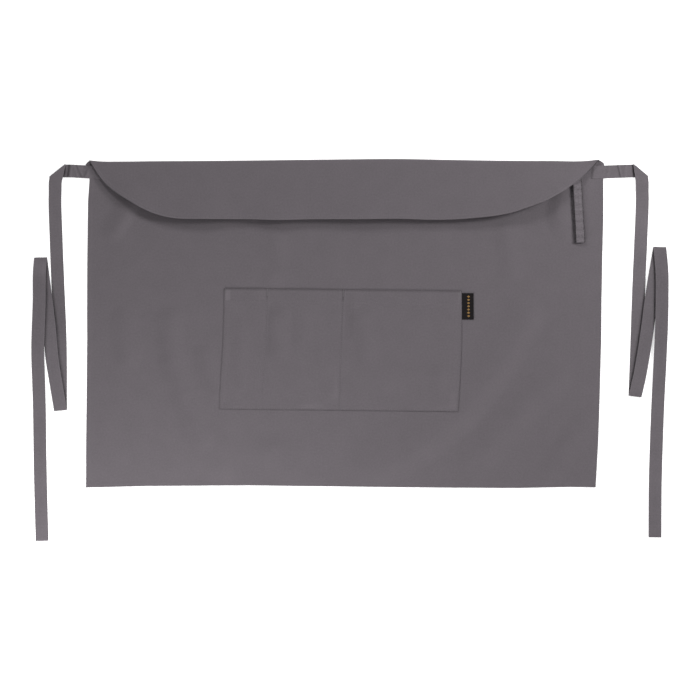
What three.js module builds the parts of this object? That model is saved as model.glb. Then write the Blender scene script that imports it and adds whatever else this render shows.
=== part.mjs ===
// A long waist apron lying flat, its front up: +X to the right, +Y to the waist, +Z up off the surface.
// All lengths are in millimetres. The skirt is drawn from the middle of its waist fold, and the finished
// apron is then moved so that the middle of its underside box is the origin.
import * as THREE from 'three';

// Cloth, and the clearances between sewn layers and between the folded layers of one tie
const clothWall = 1.0;
const tieWall = 1.2;
const loopWall = 1.0;
const tabWall = 1.0;
const seamGap = 0.3;
const layerGap = 0.3;

// Skirt
const skirtWidth = 1000;
const skirtDrop = 637;
const foldCrown = 2.5;
const foldHeight = 2.0;

// Waist flap, folded forward over the skirt
const flapDepth = 115;
const flapLeftRadius = 225;
const flapRightRadius = 336;
const cornerInsetLeft = 2;
const cornerInsetRight = 10;
const foldRadius = 4.0;
const cornerFoldRadius = 2.2;
const cornerEase = 120;
const flapLift = 5.0;
const flapTip = 1.2;

// Pocket: a pen compartment, a middle one and a wide one
const penWidth = 84;
const middleWidth = 149;
const wideWidth = 231;
const pocketDepth = 234;
const pocketFromFold = 252;
const pocketShift = -8;
const pocketTilt = 0.62;
const pocketLean = 0.95;
const mouthGape = 6.5;

// Label tab at the pocket's right side
const tabWidth = 23;
const tabLength = 51;
const tabFromMouth = 4;

// Towel loop
const loopWidth = 14;
const loopLength = 119;
const loopFromFold = 39;
const loopFromSide = 50;
const loopLean = 2.8;
const loopGape = 4.7;
const loopSewn = 12;
const loopRamp = 30;

// Ties: each is sewn on behind the flap's end, leaves across the side and is laid in a zigzag
const tieWidth = 25;
const tieSewn = 31;
const tieFromFold = 22;
const edgeClear = 2.5;
const leftTieReach = 101.7;
const leftTieDrop = 740;
const rightTieReach = 114.8;
const rightTieDrop = 733;

// Shapes of the soft forms: how flat the top of a bulge is, how late it falls away, how much the columns
// crowd towards the curved ends, and over how many of its own widths a tie comes down to the surface
const bulgeFlatness = 2.6;
const bulgeFall = 1.5;
const endCrowding = 0.05;
const landingWidths = 0.8;

// Fineness of the meshes
const skirtColumns = 44;
const skirtRows = 26;
const rollSteps = 5;
const flapRows = 4;
const compartmentColumns = 8;
const pocketRows = 8;
const loopStep = 9;
const tieStep = 17;
const bendSteps = 4;
const seatCells = 1.35;
const foldTurn = 60;

// Side edges: down as a share of the drop, left and right as shares of the width from the middle
const sideEdges = [
  { down: 0.0, left: -0.5, right: 0.5 },
  { down: 0.2, left: -0.503, right: 0.499 },
  { down: 0.45, left: -0.504, right: 0.496 },
  { down: 0.73, left: -0.505, right: 0.492 },
  { down: 0.86, left: -0.506, right: 0.4895 },
  { down: 1.0, left: -0.5055, right: 0.4845 },
];

// Bottom edge: across as a share of the width, drop as a share of the skirt's drop
const bottomEdge = [
  { across: 0.0, drop: 0.9995 },
  { across: 0.12, drop: 0.9955 },
  { across: 0.32, drop: 0.9935 },
  { across: 0.51, drop: 0.997 },
  { across: 0.7, drop: 1.0 },
  { across: 0.85, drop: 1.001 },
  { across: 1.0, drop: 0.9975 },
];

// How far the flap's free edge stands up: across as a share of the width, rise as a share of flapLift
const flapRises = [
  { across: 0.0, rise: 0.0 },
  { across: 0.09, rise: 0.6 },
  { across: 0.2, rise: 1.0 },
  { across: 0.36, rise: 0.75 },
  { across: 0.5, rise: 0.9 },
  { across: 0.68, rise: 0.8 },
  { across: 0.85, rise: 1.15 },
  { across: 0.94, rise: 0.7 },
  { across: 1.0, rise: 0.0 },
];

// Soft folds of the lying skirt, as ridges between two points: across and spread as shares of the width,
// down as shares of the drop, and height as a share of foldHeight
const softFolds = [
  { fromAcross: 0.59, fromDown: 0.94, toAcross: 0.87, toDown: 0.56, spread: 0.036, height: 1.0 },
  { fromAcross: 0.76, fromDown: 0.94, toAcross: 0.94, toDown: 0.75, spread: 0.032, height: 0.75 },
  { fromAcross: 0.88, fromDown: 0.97, toAcross: 0.98, toDown: 0.86, spread: 0.03, height: 0.5 },
  { fromAcross: 0.187, fromDown: 0.48, toAcross: 0.198, toDown: 0.75, spread: 0.03, height: 0.9 },
  { fromAcross: 0.198, fromDown: 0.75, toAcross: 0.245, toDown: 0.9, spread: 0.03, height: 0.75 },
  { fromAcross: 0.385, fromDown: 0.86, toAcross: 0.47, toDown: 0.95, spread: 0.034, height: 0.6 },
  { fromAcross: 0.06, fromDown: 0.67, toAcross: 0.12, toDown: 0.89, spread: 0.034, height: 0.5 },
  { fromAcross: 0.058, fromDown: 0.15, toAcross: 0.038, toDown: 0.26, spread: 0.024, height: 0.6 },
];

// Middle line of each tie beyond the skirt's side: out as a share of its reach, down as a share of its drop.
// The first row is level with where it leaves the skirt, and sharp turns are folds.
const leftTieRoute = [
  { out: 0.175, down: 0.0292 },
  { out: 0.59, down: 0.0305 },
  { out: 0.64, down: 0.0775 },
  { out: 0.62, down: 0.209 },
  { out: 0.583, down: 0.314 },
  { out: 0.54, down: 0.472 },
  { out: 0.532, down: 0.6555 },
  { out: 0.629, down: 0.577 },
  { out: 0.692, down: 0.525 },
  { out: 0.755, down: 0.438 },
  { out: 0.825, down: 0.362 },
  { out: 0.924, down: 0.258 },
  { out: 0.943, down: 0.288 },
  { out: 0.95, down: 0.368 },
  { out: 0.976, down: 0.498 },
  { out: 0.957, down: 0.604 },
  { out: 0.928, down: 0.84 },
  { out: 0.894, down: 1.0 },
];
const rightTieRoute = [
  { out: 0.15, down: 0.0292 },
  { out: 0.625, down: 0.0285 },
  { out: 0.664, down: 0.0775 },
  { out: 0.648, down: 0.211 },
  { out: 0.612, down: 0.317 },
  { out: 0.558, down: 0.53 },
  { out: 0.542, down: 0.6245 },
  { out: 0.6, down: 0.583 },
  { out: 0.723, down: 0.4764 },
  { out: 0.839, down: 0.344 },
  { out: 0.962, down: 0.2325 },
  { out: 0.996, down: 0.291 },
  { out: 1.0, down: 0.37 },
  { out: 0.966, down: 0.53 },
  { out: 0.918, down: 0.689 },
  { out: 0.883, down: 0.869 },
  { out: 0.878, down: 1.0 },
];

const plan = (x, y) => new THREE.Vector2(x, y);
const point = (x, y, z) => new THREE.Vector3(x, y, z);
const radians = THREE.MathUtils.degToRad;
const share = (index, count) => index / count;
const indexes = (count) => Array.from({ length: count }, (_, index) => index);

// 0 below low, 1 above high, and a smooth step between
function ease(value, low, high) {
  return THREE.MathUtils.smoothstep(value, low, high);
}

// Reads one column of a table against another, straight from row to row
function read(table, column, key, value) {
  const next = table.findIndex((row) => row[key] >= value);
  if (next === 0) return table[0][column];
  if (next < 0) return table[table.length - 1][column];
  const before = table[next - 1];
  const after = table[next];
  const part = (value - before[key]) / (after[key] - before[key]);
  return THREE.MathUtils.lerp(before[column], after[column], part);
}

// A closed sheet of even wall round a grid of points on its middle surface
function sheet(grid, wall) {
  const across = grid.length;
  const along = grid[0].length;
  const clampedAcross = (i) => THREE.MathUtils.clamp(i, 0, across - 1);
  const clampedAlong = (j) => THREE.MathUtils.clamp(j, 0, along - 1);
  const positions = [];
  for (const side of [1, -1]) {
    for (let i = 0; i < across; i += 1) {
      for (let j = 0; j < along; j += 1) {
        const du = grid[clampedAcross(i + 1)][j].clone().sub(grid[clampedAcross(i - 1)][j]);
        const dv = grid[i][clampedAlong(j + 1)].clone().sub(grid[i][clampedAlong(j - 1)]);
        const normal = du.cross(dv).normalize();
        const corner = grid[i][j].clone().addScaledVector(normal, (side * wall) / 2);
        positions.push(corner.x, corner.y, corner.z);
      }
    }
  }
  const upper = (i, j) => i * along + j;
  const lower = (i, j) => across * along + i * along + j;
  const faces = [];
  const quad = (a, b, c, d) => faces.push(a, b, c, a, c, d);
  for (let i = 0; i < across - 1; i += 1) {
    for (let j = 0; j < along - 1; j += 1) {
      quad(upper(i, j), upper(i + 1, j), upper(i + 1, j + 1), upper(i, j + 1));
      quad(lower(i, j), lower(i, j + 1), lower(i + 1, j + 1), lower(i + 1, j));
    }
  }
  for (let i = 0; i < across - 1; i += 1) {
    quad(lower(i, 0), lower(i + 1, 0), upper(i + 1, 0), upper(i, 0));
    quad(lower(i + 1, along - 1), lower(i, along - 1), upper(i, along - 1), upper(i + 1, along - 1));
  }
  for (let j = 0; j < along - 1; j += 1) {
    quad(lower(0, j + 1), lower(0, j), upper(0, j), upper(0, j + 1));
    quad(lower(across - 1, j), lower(across - 1, j + 1), upper(across - 1, j + 1), upper(across - 1, j));
  }
  const geometry = new THREE.BufferGeometry();
  geometry.setAttribute('position', new THREE.Float32BufferAttribute(positions, 3));
  geometry.setIndex(faces);
  geometry.computeVertexNormals();
  return geometry;
}

// Where the side edge is, a length below the waist fold
function sideX(side, below) {
  return read(sideEdges, side, 'down', below / skirtDrop) * skirtWidth;
}

// The flap's curved ends: the ends of the waist fold, and the middles of the two arcs
const foldEnds = { left: sideX('left', 0) + cornerInsetLeft, right: sideX('right', 0) - cornerInsetRight };
const arcRun = (radius) => Math.sqrt(radius ** 2 - (radius - flapDepth) ** 2);
const arcs = {
  left: { x: foldEnds.left + arcRun(flapLeftRadius), radius: flapLeftRadius, sign: -1 },
  right: { x: foldEnds.right - arcRun(flapRightRadius), radius: flapRightRadius, sign: 1 },
};

// How far the flap's edge lies below the fold, at a place across
function flapEdge(x) {
  const arc = x < arcs.left.x ? arcs.left : x > arcs.right.x ? arcs.right : null;
  if (!arc) return flapDepth;
  const run = Math.min(Math.abs(x - arc.x), arc.radius);
  return flapDepth - arc.radius + Math.sqrt(arc.radius ** 2 - run ** 2);
}

// The corner of the skirt goes on along the flap's arc until it meets the side edge
function cornerX(side, below) {
  const arc = arcs[side];
  const height = Math.max(arc.radius - flapDepth - below, 0);
  const onArc = arc.x + arc.sign * Math.sqrt(arc.radius ** 2 - height ** 2);
  const onSide = sideX(side, below);
  return arc.sign < 0 ? Math.max(onArc, onSide) : Math.min(onArc, onSide);
}

// The waist fold is a soft roll, tighter at the corners
function rollRadius(across) {
  const fromEnd = Math.min(across, 1 - across) * skirtWidth;
  return THREE.MathUtils.lerp(cornerFoldRadius, foldRadius, ease(fromEnd, 0, cornerEase));
}

function foldY(across) {
  return foldCrown * Math.sin(Math.PI * across);
}

const pocketWidth = penWidth + middleWidth + wideWidth;
const pocketSeams = [0, penWidth, penWidth + middleWidth, pocketWidth].map((run) => run / pocketWidth);
const compartments = pocketSeams.slice(1).map((to, index) => ({ from: pocketSeams[index], to }));

// A place on the pocket's plan: from its left side and down from its mouth, in millimetres
function pocketPlan(fromLeft, fromMouth) {
  const lean = fromMouth * Math.tan(radians(pocketLean));
  const local = plan(fromLeft - pocketWidth / 2 - lean, -fromMouth);
  return local.rotateAround(plan(0, 0), -radians(pocketTilt)).add(plan(pocketShift, -pocketFromFold));
}

// The towel loop's plan: its middle line goes down from its sewn end
function loopPlan(fromMiddle, fromTop) {
  const local = plan(fromMiddle, -fromTop).rotateAround(plan(0, 0), radians(loopLean));
  const top = loopFromFold + loopWidth / 2;
  return local.add(plan(sideX('right', top) - loopFromSide, -loopFromFold));
}

// Where something is sewn on, the skirt lies flat
const skirtCell = Math.max(skirtWidth / skirtColumns, skirtDrop / skirtRows) * seatCells;
const seats = [
  [pocketPlan(0, 0), pocketPlan(0, pocketDepth), pocketPlan(pocketWidth + tabWidth, pocketDepth)],
  [loopPlan(-loopWidth, 0), loopPlan(loopWidth, loopLength)],
].map((corners) => new THREE.Box2().setFromPoints(corners).expandByScalar(skirtCell));

function softFold(fold, across, below) {
  const from = plan(fold.fromAcross * skirtWidth, fold.fromDown * skirtDrop);
  const to = plan(fold.toAcross * skirtWidth, fold.toDown * skirtDrop);
  const here = plan(across * skirtWidth, below);
  const line = to.clone().sub(from);
  const along = THREE.MathUtils.clamp(here.clone().sub(from).dot(line) / line.lengthSq(), 0, 1);
  const away = here.distanceTo(from.addScaledVector(line, along));
  const ridge = 1 - ease(away, 0, fold.spread * skirtWidth);
  return foldHeight * fold.height * ridge;
}

// How far the skirt is off the surface
function skirtLift(place, across, below) {
  const tallest = Math.max(...softFolds.map((fold) => softFold(fold, across, below)));
  const clear = Math.min(...seats.map((seat) => ease(seat.distanceToPoint(place), 0, skirtCell)));
  return tallest * clear;
}

// Columns lie closer together towards the curved ends
function columnShare(column) {
  const even = share(column, skirtColumns);
  return even - endCrowding * Math.sin(2 * Math.PI * even);
}

function skirtColumn(across) {
  const radius = rollRadius(across);
  const top = foldY(across);
  const points = [];
  const bottom = read(bottomEdge, 'drop', 'across', across) * skirtDrop;
  for (const row of indexes(skirtRows + 1)) {
    const below = THREE.MathUtils.lerp(bottom, radius, share(row, skirtRows));
    const x = THREE.MathUtils.lerp(cornerX('left', below), cornerX('right', below), across);
    const y = THREE.MathUtils.lerp(top, 0, below / bottom) - below;
    points.push(point(x, y, clothWall / 2 + skirtLift(plan(x, y), across, below)));
  }
  const x = THREE.MathUtils.lerp(foldEnds.left, foldEnds.right, across);
  const base = points.pop();
  for (const step of indexes(rollSteps + 1)) {
    const turn = Math.PI * share(step, rollSteps);
    points.push(point(x, top - radius + radius * Math.sin(turn), base.z + radius * (1 - Math.cos(turn))));
  }
  const edge = Math.max(flapEdge(x), radius + flapTip);
  const rise = read(flapRises, 'rise', 'across', across) * flapLift;
  for (const row of indexes(flapRows).map((index) => share(index + 1, flapRows))) {
    const below = THREE.MathUtils.lerp(radius, edge, row);
    points.push(point(x, top - below, base.z + 2 * radius + rise * row ** bulgeFall));
  }
  return points;
}

function skirtGeometry() {
  const grid = indexes(skirtColumns + 1).map((column) => skirtColumn(columnShare(column)));
  return sheet(grid, clothWall);
}

// The pocket gapes at its mouth, in each compartment, and lies down to its seams
function pocketGape(across, down) {
  const part = compartments.find((one) => across <= one.to) ?? compartments[compartments.length - 1];
  const place = (across - part.from) / (part.to - part.from);
  const crown = 1 - Math.abs(2 * place - 1) ** bulgeFlatness;
  return mouthGape * crown * (1 - down ** bulgeFall);
}

function pocketGeometry() {
  const columns = compartments.flatMap((part) =>
    indexes(compartmentColumns).map((index) =>
      THREE.MathUtils.lerp(part.from, part.to, share(index, compartmentColumns))));
  const seated = clothWall + seamGap + clothWall / 2;
  const grid = [...columns, 1].map((across) => indexes(pocketRows + 1).map((row) => {
    const down = 1 - share(row, pocketRows);
    const place = pocketPlan(across * pocketWidth, down * pocketDepth);
    return point(place.x, place.y, seated + pocketGape(across, down));
  }));
  return sheet(grid, clothWall);
}

function tabGeometry() {
  const seated = clothWall + seamGap + tabWall / 2;
  const grid = [0, 0.5, 1].map((out) => [1, 0.5, 0].map((down) => {
    const place = pocketPlan(pocketWidth + seamGap + out * tabWidth, tabFromMouth + down * tabLength);
    return point(place.x, place.y, seated);
  }));
  return sheet(grid, tabWall);
}

// The loop is one strip: down along the skirt, round its bight and back up over itself to the sewn end
function loopGeometry() {
  const bight = (loopGape + loopWall) / 2;
  const back = clothWall + seamGap + loopWall / 2;
  const front = back + 2 * bight;
  const sewnFront = back + loopWall + layerGap;
  const straight = loopLength - bight;
  const steps = Math.ceil(straight / loopStep);
  const profile = indexes(steps + 1).map((index) => ({ fromTop: straight * share(index, steps), z: back }));
  for (const step of indexes(2 * bendSteps - 1)) {
    const turn = Math.PI * share(step + 1, 2 * bendSteps);
    profile.push({ fromTop: straight + bight * Math.sin(turn), z: back + bight * (1 - Math.cos(turn)) });
  }
  for (const index of indexes(steps + 1)) {
    const fromTop = straight * (1 - share(index, steps));
    const raised = ease(fromTop, loopSewn, loopSewn + loopRamp);
    profile.push({ fromTop, z: THREE.MathUtils.lerp(sewnFront, front, raised) });
  }
  const grid = [1, -1].map((side) => profile.map((row) => {
    const place = loopPlan((side * loopWidth) / 2, row.fromTop);
    return point(place.x, place.y, row.z);
  }));
  return sheet(grid, loopWall);
}

const quarterTurn = (direction) => plan(-direction.y, direction.x);

// Splits a tie's middle line into runs at its folds, and each run into even steps
function tieRuns(corners) {
  const runs = [[corners[0]]];
  for (const index of indexes(corners.length - 1).map((before) => before + 1)) {
    const here = corners[index];
    runs[runs.length - 1].push(here);
    const after = corners[index + 1];
    if (!after) break;
    const arriving = here.clone().sub(corners[index - 1]);
    const leaving = after.clone().sub(here);
    if (Math.abs(arriving.angleTo(leaving)) > radians(foldTurn)) runs.push([here]);
  }
  return runs.map((run) => {
    const path = new THREE.CurvePath();
    indexes(run.length - 1).forEach((index) => path.add(new THREE.LineCurve(run[index], run[index + 1])));
    return path.getSpacedPoints(Math.max(2, Math.ceil(path.getLength() / tieStep)));
  });
}

// A strap laid along its runs, each run folded over the one before it. heightOf gives the middle of the
// wall at each place of a run.
function strap(runs, width, wall, heightOf) {
  const bendRadius = (wall + layerGap) / 2;
  const rulings = [];
  let side = 1;
  runs.forEach((run, runIndex) => {
    run.forEach((here, index) => {
      if (runIndex > 0 && index === 0) return;
      const arriving = here.clone().sub(run[index - 1] ?? here).normalize();
      const leaving = (run[index + 1] ?? here).clone().sub(here).normalize();
      const z = heightOf(runIndex, index, here);
      const next = runs[runIndex + 1];
      if (index < run.length - 1 || !next) {
        const reach = quarterTurn(arriving.add(leaving).normalize()).multiplyScalar((side * width) / 2);
        rulings.push([here.clone().add(reach), here.clone().sub(reach), z]);
        return;
      }
      const turned = next[1].clone().sub(here).normalize();
      const crease = arriving.clone().add(turned).normalize();
      const slant = Math.abs(crease.cross(arriving));
      const left = quarterTurn(arriving).multiplyScalar(side);
      const reach = crease.multiplyScalar((Math.sign(crease.dot(left)) * width) / 2 / slant);
      const outward = quarterTurn(reach).normalize();
      outward.multiplyScalar(Math.sign(outward.dot(arriving)));
      for (const step of indexes(bendSteps + 1)) {
        const turn = Math.PI * share(step, bendSteps);
        const middle = here.clone().addScaledVector(outward, bendRadius * Math.sin(turn));
        const height = z + bendRadius * (1 - Math.cos(turn));
        rulings.push([middle.clone().add(reach), middle.clone().sub(reach), height]);
      }
      side = -side;
    });
  });
  const edge = (which) => rulings.map((ruling) => point(ruling[which].x, ruling[which].y, ruling[2]));
  return sheet([edge(1), edge(0)], wall);
}

// Each run lies one layer higher than the run it is folded over, and comes down once it is clear of it
function tieGeometry(side, route, reach, drop) {
  const sign = side === 'left' ? -1 : 1;
  const exit = sideX(side, tieFromFold);
  const outside = route.map((row) => plan(exit + sign * row.out * reach, -row.down * drop));
  const sewn = [-tieSewn, edgeClear].map((past) => plan(exit + sign * past, -tieFromFold));
  const runs = tieRuns([...sewn, ...outside]);
  const layer = tieWall + layerGap;
  const floor = tieWall / 2;
  const onSkirt = clothWall + seamGap + tieWall / 2;
  const nearest = (place, run) => Math.min(...run.map((other) => other.distanceTo(place)));
  const heightOf = (runIndex, index, here) => {
    if (runIndex === 0) {
      const past = sign * (here.x - exit) - edgeClear;
      return THREE.MathUtils.lerp(onSkirt, floor, ease(past, 0, tieWidth / 2));
    }
    const away = nearest(here, runs[runIndex - 1]);
    const lowered = ease(away, tieWidth, tieWidth * (1 + landingWidths));
    if (runIndex === 1) return floor + layer * (1 - lowered);
    if (runIndex < runs.length - 1) return floor + layer * (runIndex - 1);
    return floor + layer * (runIndex - 1) * (1 - lowered);
  };
  return strap(runs, tieWidth, tieWall, heightOf);
}

const twill = { color: 0x4a464a, roughness: 0.9, metalness: 0 };
const finishes = {
  twill: new THREE.MeshStandardMaterial(twill),
  tape: new THREE.MeshStandardMaterial({ ...twill, color: 0x504c50 }),
  label: new THREE.MeshStandardMaterial({ color: 0x0b0a0b, roughness: 0.7, metalness: 0 }),
};

const apron = new THREE.Group();

function addPiece(name, geometry, finish) {
  const piece = new THREE.Mesh(geometry, finish);
  piece.name = name;
  apron.add(piece);
}

addPiece('skirt', skirtGeometry(), finishes.twill);
addPiece('pocket', pocketGeometry(), finishes.twill);
addPiece('tie_left', tieGeometry('left', leftTieRoute, leftTieReach, leftTieDrop), finishes.tape);
addPiece('tie_right', tieGeometry('right', rightTieRoute, rightTieReach, rightTieDrop), finishes.tape);
addPiece('towel_loop', loopGeometry(), finishes.tape);
addPiece('label_tab', tabGeometry(), finishes.label);

// The origin is the middle of the underside of the whole apron's box
const whole = new THREE.Box3().setFromObject(apron);
const middle = whole.getCenter(new THREE.Vector3());
apron.position.set(-middle.x, -middle.y, -whole.min.z);

export default apron;
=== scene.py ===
"""A long waist apron lying flat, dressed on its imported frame: cloth, hems, stitches, tapes and a studio."""
import logging
import math
from dataclasses import dataclass, field
from enum import Enum
from typing import Any, Iterable, Sequence

import bpy
import numpy as np
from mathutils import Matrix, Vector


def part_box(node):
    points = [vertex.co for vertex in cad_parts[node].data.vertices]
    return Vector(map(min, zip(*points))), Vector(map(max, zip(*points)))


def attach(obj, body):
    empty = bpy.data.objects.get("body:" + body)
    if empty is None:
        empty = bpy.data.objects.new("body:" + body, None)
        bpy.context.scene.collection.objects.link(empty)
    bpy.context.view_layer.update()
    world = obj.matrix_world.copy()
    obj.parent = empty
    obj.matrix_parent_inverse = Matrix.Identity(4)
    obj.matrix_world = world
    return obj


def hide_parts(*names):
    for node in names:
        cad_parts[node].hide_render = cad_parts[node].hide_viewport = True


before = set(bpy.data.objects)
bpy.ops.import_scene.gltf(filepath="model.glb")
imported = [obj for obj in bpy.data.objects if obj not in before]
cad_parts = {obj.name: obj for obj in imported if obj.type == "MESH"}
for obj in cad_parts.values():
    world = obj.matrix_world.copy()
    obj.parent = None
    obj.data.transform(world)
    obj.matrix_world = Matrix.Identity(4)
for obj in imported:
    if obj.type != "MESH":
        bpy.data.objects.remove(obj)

LOG = logging.getLogger("apron")
BODY = "root"
# The tint that each piece carries: fading with use, and painted light and shade
FLAT_MAP = "cloth"
WEAR_AND_SHADING = "wear"
MM = 0.001
SMOOTH_ANGLE = math.radians(60)
CLOTH_STEP = 4.8 * MM
# Folds get painted light where they fall to the right and down the cloth, and painted shade where they rise;
# which way a fold falls is read 1 mm further on, to the right and down the cloth
SHADING_ASIDE = 0.85
SHADING_DOWN = 0.53
UPRIGHT = np.array([0.0, 0.0, 1.0])
QUARTER_TURN = np.array([[0.0, -1.0], [1.0, 0.0]])

Array = np.ndarray
Colour = tuple[float, float, float]
Table = Sequence[dict[str, float]]


class Side(Enum):
    """The two sides of the apron, as seen lying with its waist up the picture."""

    LEFT = -1
    RIGHT = 1


class Held(Enum):
    """How a sheet is held."""

    LAID = "laid"
    FOLDED = "folded"


def named_rows(columns: str, *rows: tuple[float, ...]) -> Table:
    """Return a table as rows that are read by the names of their columns."""
    names = columns.split()
    return [dict(zip(names, row, strict=True)) for row in rows]


def ease(value: Array, low: float, high: float) -> Array:
    """Step smoothly from 0 at low to 1 at high."""
    part = np.clip((value - low) / (high - low), 0.0, 1.0)
    return part * part * (3.0 - 2.0 * part)


def bell(value: Array, middle: float, spread: float) -> Array:
    """Return a round bump of height 1 at middle that has died away a few spreads from it."""
    return np.exp(-(((value - middle) / spread) ** 2))


def distances(path: Array) -> Array:
    """Return how far along a path each of its points is."""
    return np.concatenate([[0.0], np.cumsum(np.linalg.norm(np.diff(path, axis=0), axis=1))])


def nearest(places: Array, wanted: float) -> int:
    """Return the index of the place nearest to the wanted one."""
    return int(np.argmin(np.abs(places - wanted)))


def read_along(reached: Array, values: Array, wanted: Array) -> Array:
    """Return the values of a path's points, each in its own row, at places along it."""
    return np.stack([np.interp(wanted, reached, column) for column in values.T], -1)


def refine(stops: Iterable[float], step: float) -> Array:
    """Split the stretches between stops evenly.

    Args:
        stops: places that must stay, in any order.
        step: the longest stretch allowed.

    Returns:
        The stops and the places between them, in order.
    """
    ordered = sorted(set(stops))
    places = [ordered[0]]
    for start, end in zip(ordered, ordered[1:]):
        count = max(1, math.ceil((end - start) / step - 1e-6))
        places += [start + (end - start) * (index + 1) / count for index in range(count)]
    return np.array(places)


def column(table: Table, key: str) -> list[float]:
    """Return one named column of a table."""
    return [row[key] for row in table]


def look_up(table: Table, key: str, wanted: str, value: Array) -> Array:
    """Read one column of a table against another, straight from row to row."""
    return np.interp(value, column(table, key), column(table, wanted))


def curve(places: Array, points: Array, wanted: Array) -> Array:
    """Draw a smooth curve through points.

    Args:
        places: how far along the curve each point is.
        points: the points, one row each.
        wanted: the places to read the curve at.

    Returns:
        The points there.
    """
    wanted = np.clip(wanted, places[0], places[-1])
    slopes = np.gradient(points, places, axis=0)
    index = np.clip(np.searchsorted(places, wanted, side="right") - 1, 0, len(places) - 2)
    span = (places[index + 1] - places[index])[..., None]
    part = (wanted - places[index])[..., None] / span
    first = (1 + 2 * part) * (1 - part) ** 2 * points[index] + part * (1 - part) ** 2 * span * slopes[index]
    second = part**2 * (3 - 2 * part) * points[index + 1] - part**2 * (1 - part) * span * slopes[index + 1]
    return first + second


def flow(table: Table, key: str, wanted: str, value: Array) -> Array:
    """Read one column of a table against another, along a smooth curve through its rows."""
    points = np.array(column(table, wanted))[:, None]
    return curve(np.array(column(table, key)), points, np.asarray(value))[..., 0]


def normalised(vectors: Array) -> Array:
    """Return vectors of length 1."""
    return vectors / np.maximum(np.linalg.norm(vectors, axis=-1, keepdims=True), 1e-12)


def ridges(table: Table, size: tuple[float, float], across: Array, down: Array) -> Array:
    """Work out the height of soft folds, each a straight ridge with one flank wider than the other.

    Args:
        table: the folds: their two ends as shares of the cloth, flanks and height in millimetres.
        size: the cloth's width and length.
        across: how far across the cloth each place is.
        down: how far down it each place is.

    Returns:
        How far the folds lift each place, joined without bumps where they meet.
    """
    total = np.zeros(np.broadcast(across, down).shape)
    for fold in table:
        start = np.array([fold["across"] * size[0], fold["down"] * size[1]])
        line = np.array([fold["to_across"] * size[0], fold["to_down"] * size[1]]) - start
        x = across - start[0]
        y = down - start[1]
        part = np.clip((x * line[0] + y * line[1]) / line.dot(line), 0.0, 1.0)
        away = np.hypot(x - part * line[0], y - part * line[1])
        beside = (x * line[1] - y * line[0]) / (np.maximum(away, MM) * math.hypot(*line))
        spread = fold["right"] + (fold["left"] - fold["right"]) * ease(beside, -1.0, 1.0)
        away = away / (spread * MM)
        total = total + (fold["height"] * (1.0 - ease(away, 0.0, 1.0))) ** 4
    return total**0.25 * MM


def activate(piece: bpy.types.Object) -> None:
    """Make one object the only selected one and the active one.

    Args:
        piece: the object.
    """
    bpy.ops.object.select_all(action="DESELECT")
    piece.select_set(True)
    bpy.context.view_layer.objects.active = piece


def add_object(name: str, points: Array, faces: Sequence[Sequence[int]]) -> bpy.types.Object:
    """Make a mesh object at the origin.

    Args:
        name: the piece's name.
        points: its vertices.
        faces: the vertices of each face, seen anticlockwise from outside.

    Returns:
        The new object, smooth shaded.
    """
    mesh = bpy.data.meshes.new(name)
    mesh.from_pydata([tuple(place) for place in points.tolist()], [], faces)
    mesh.update()
    piece = bpy.data.objects.new(name, mesh)
    bpy.context.scene.collection.objects.link(piece)
    activate(piece)
    bpy.ops.object.shade_smooth_by_angle(angle=SMOOTH_ANGLE)
    return piece


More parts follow.
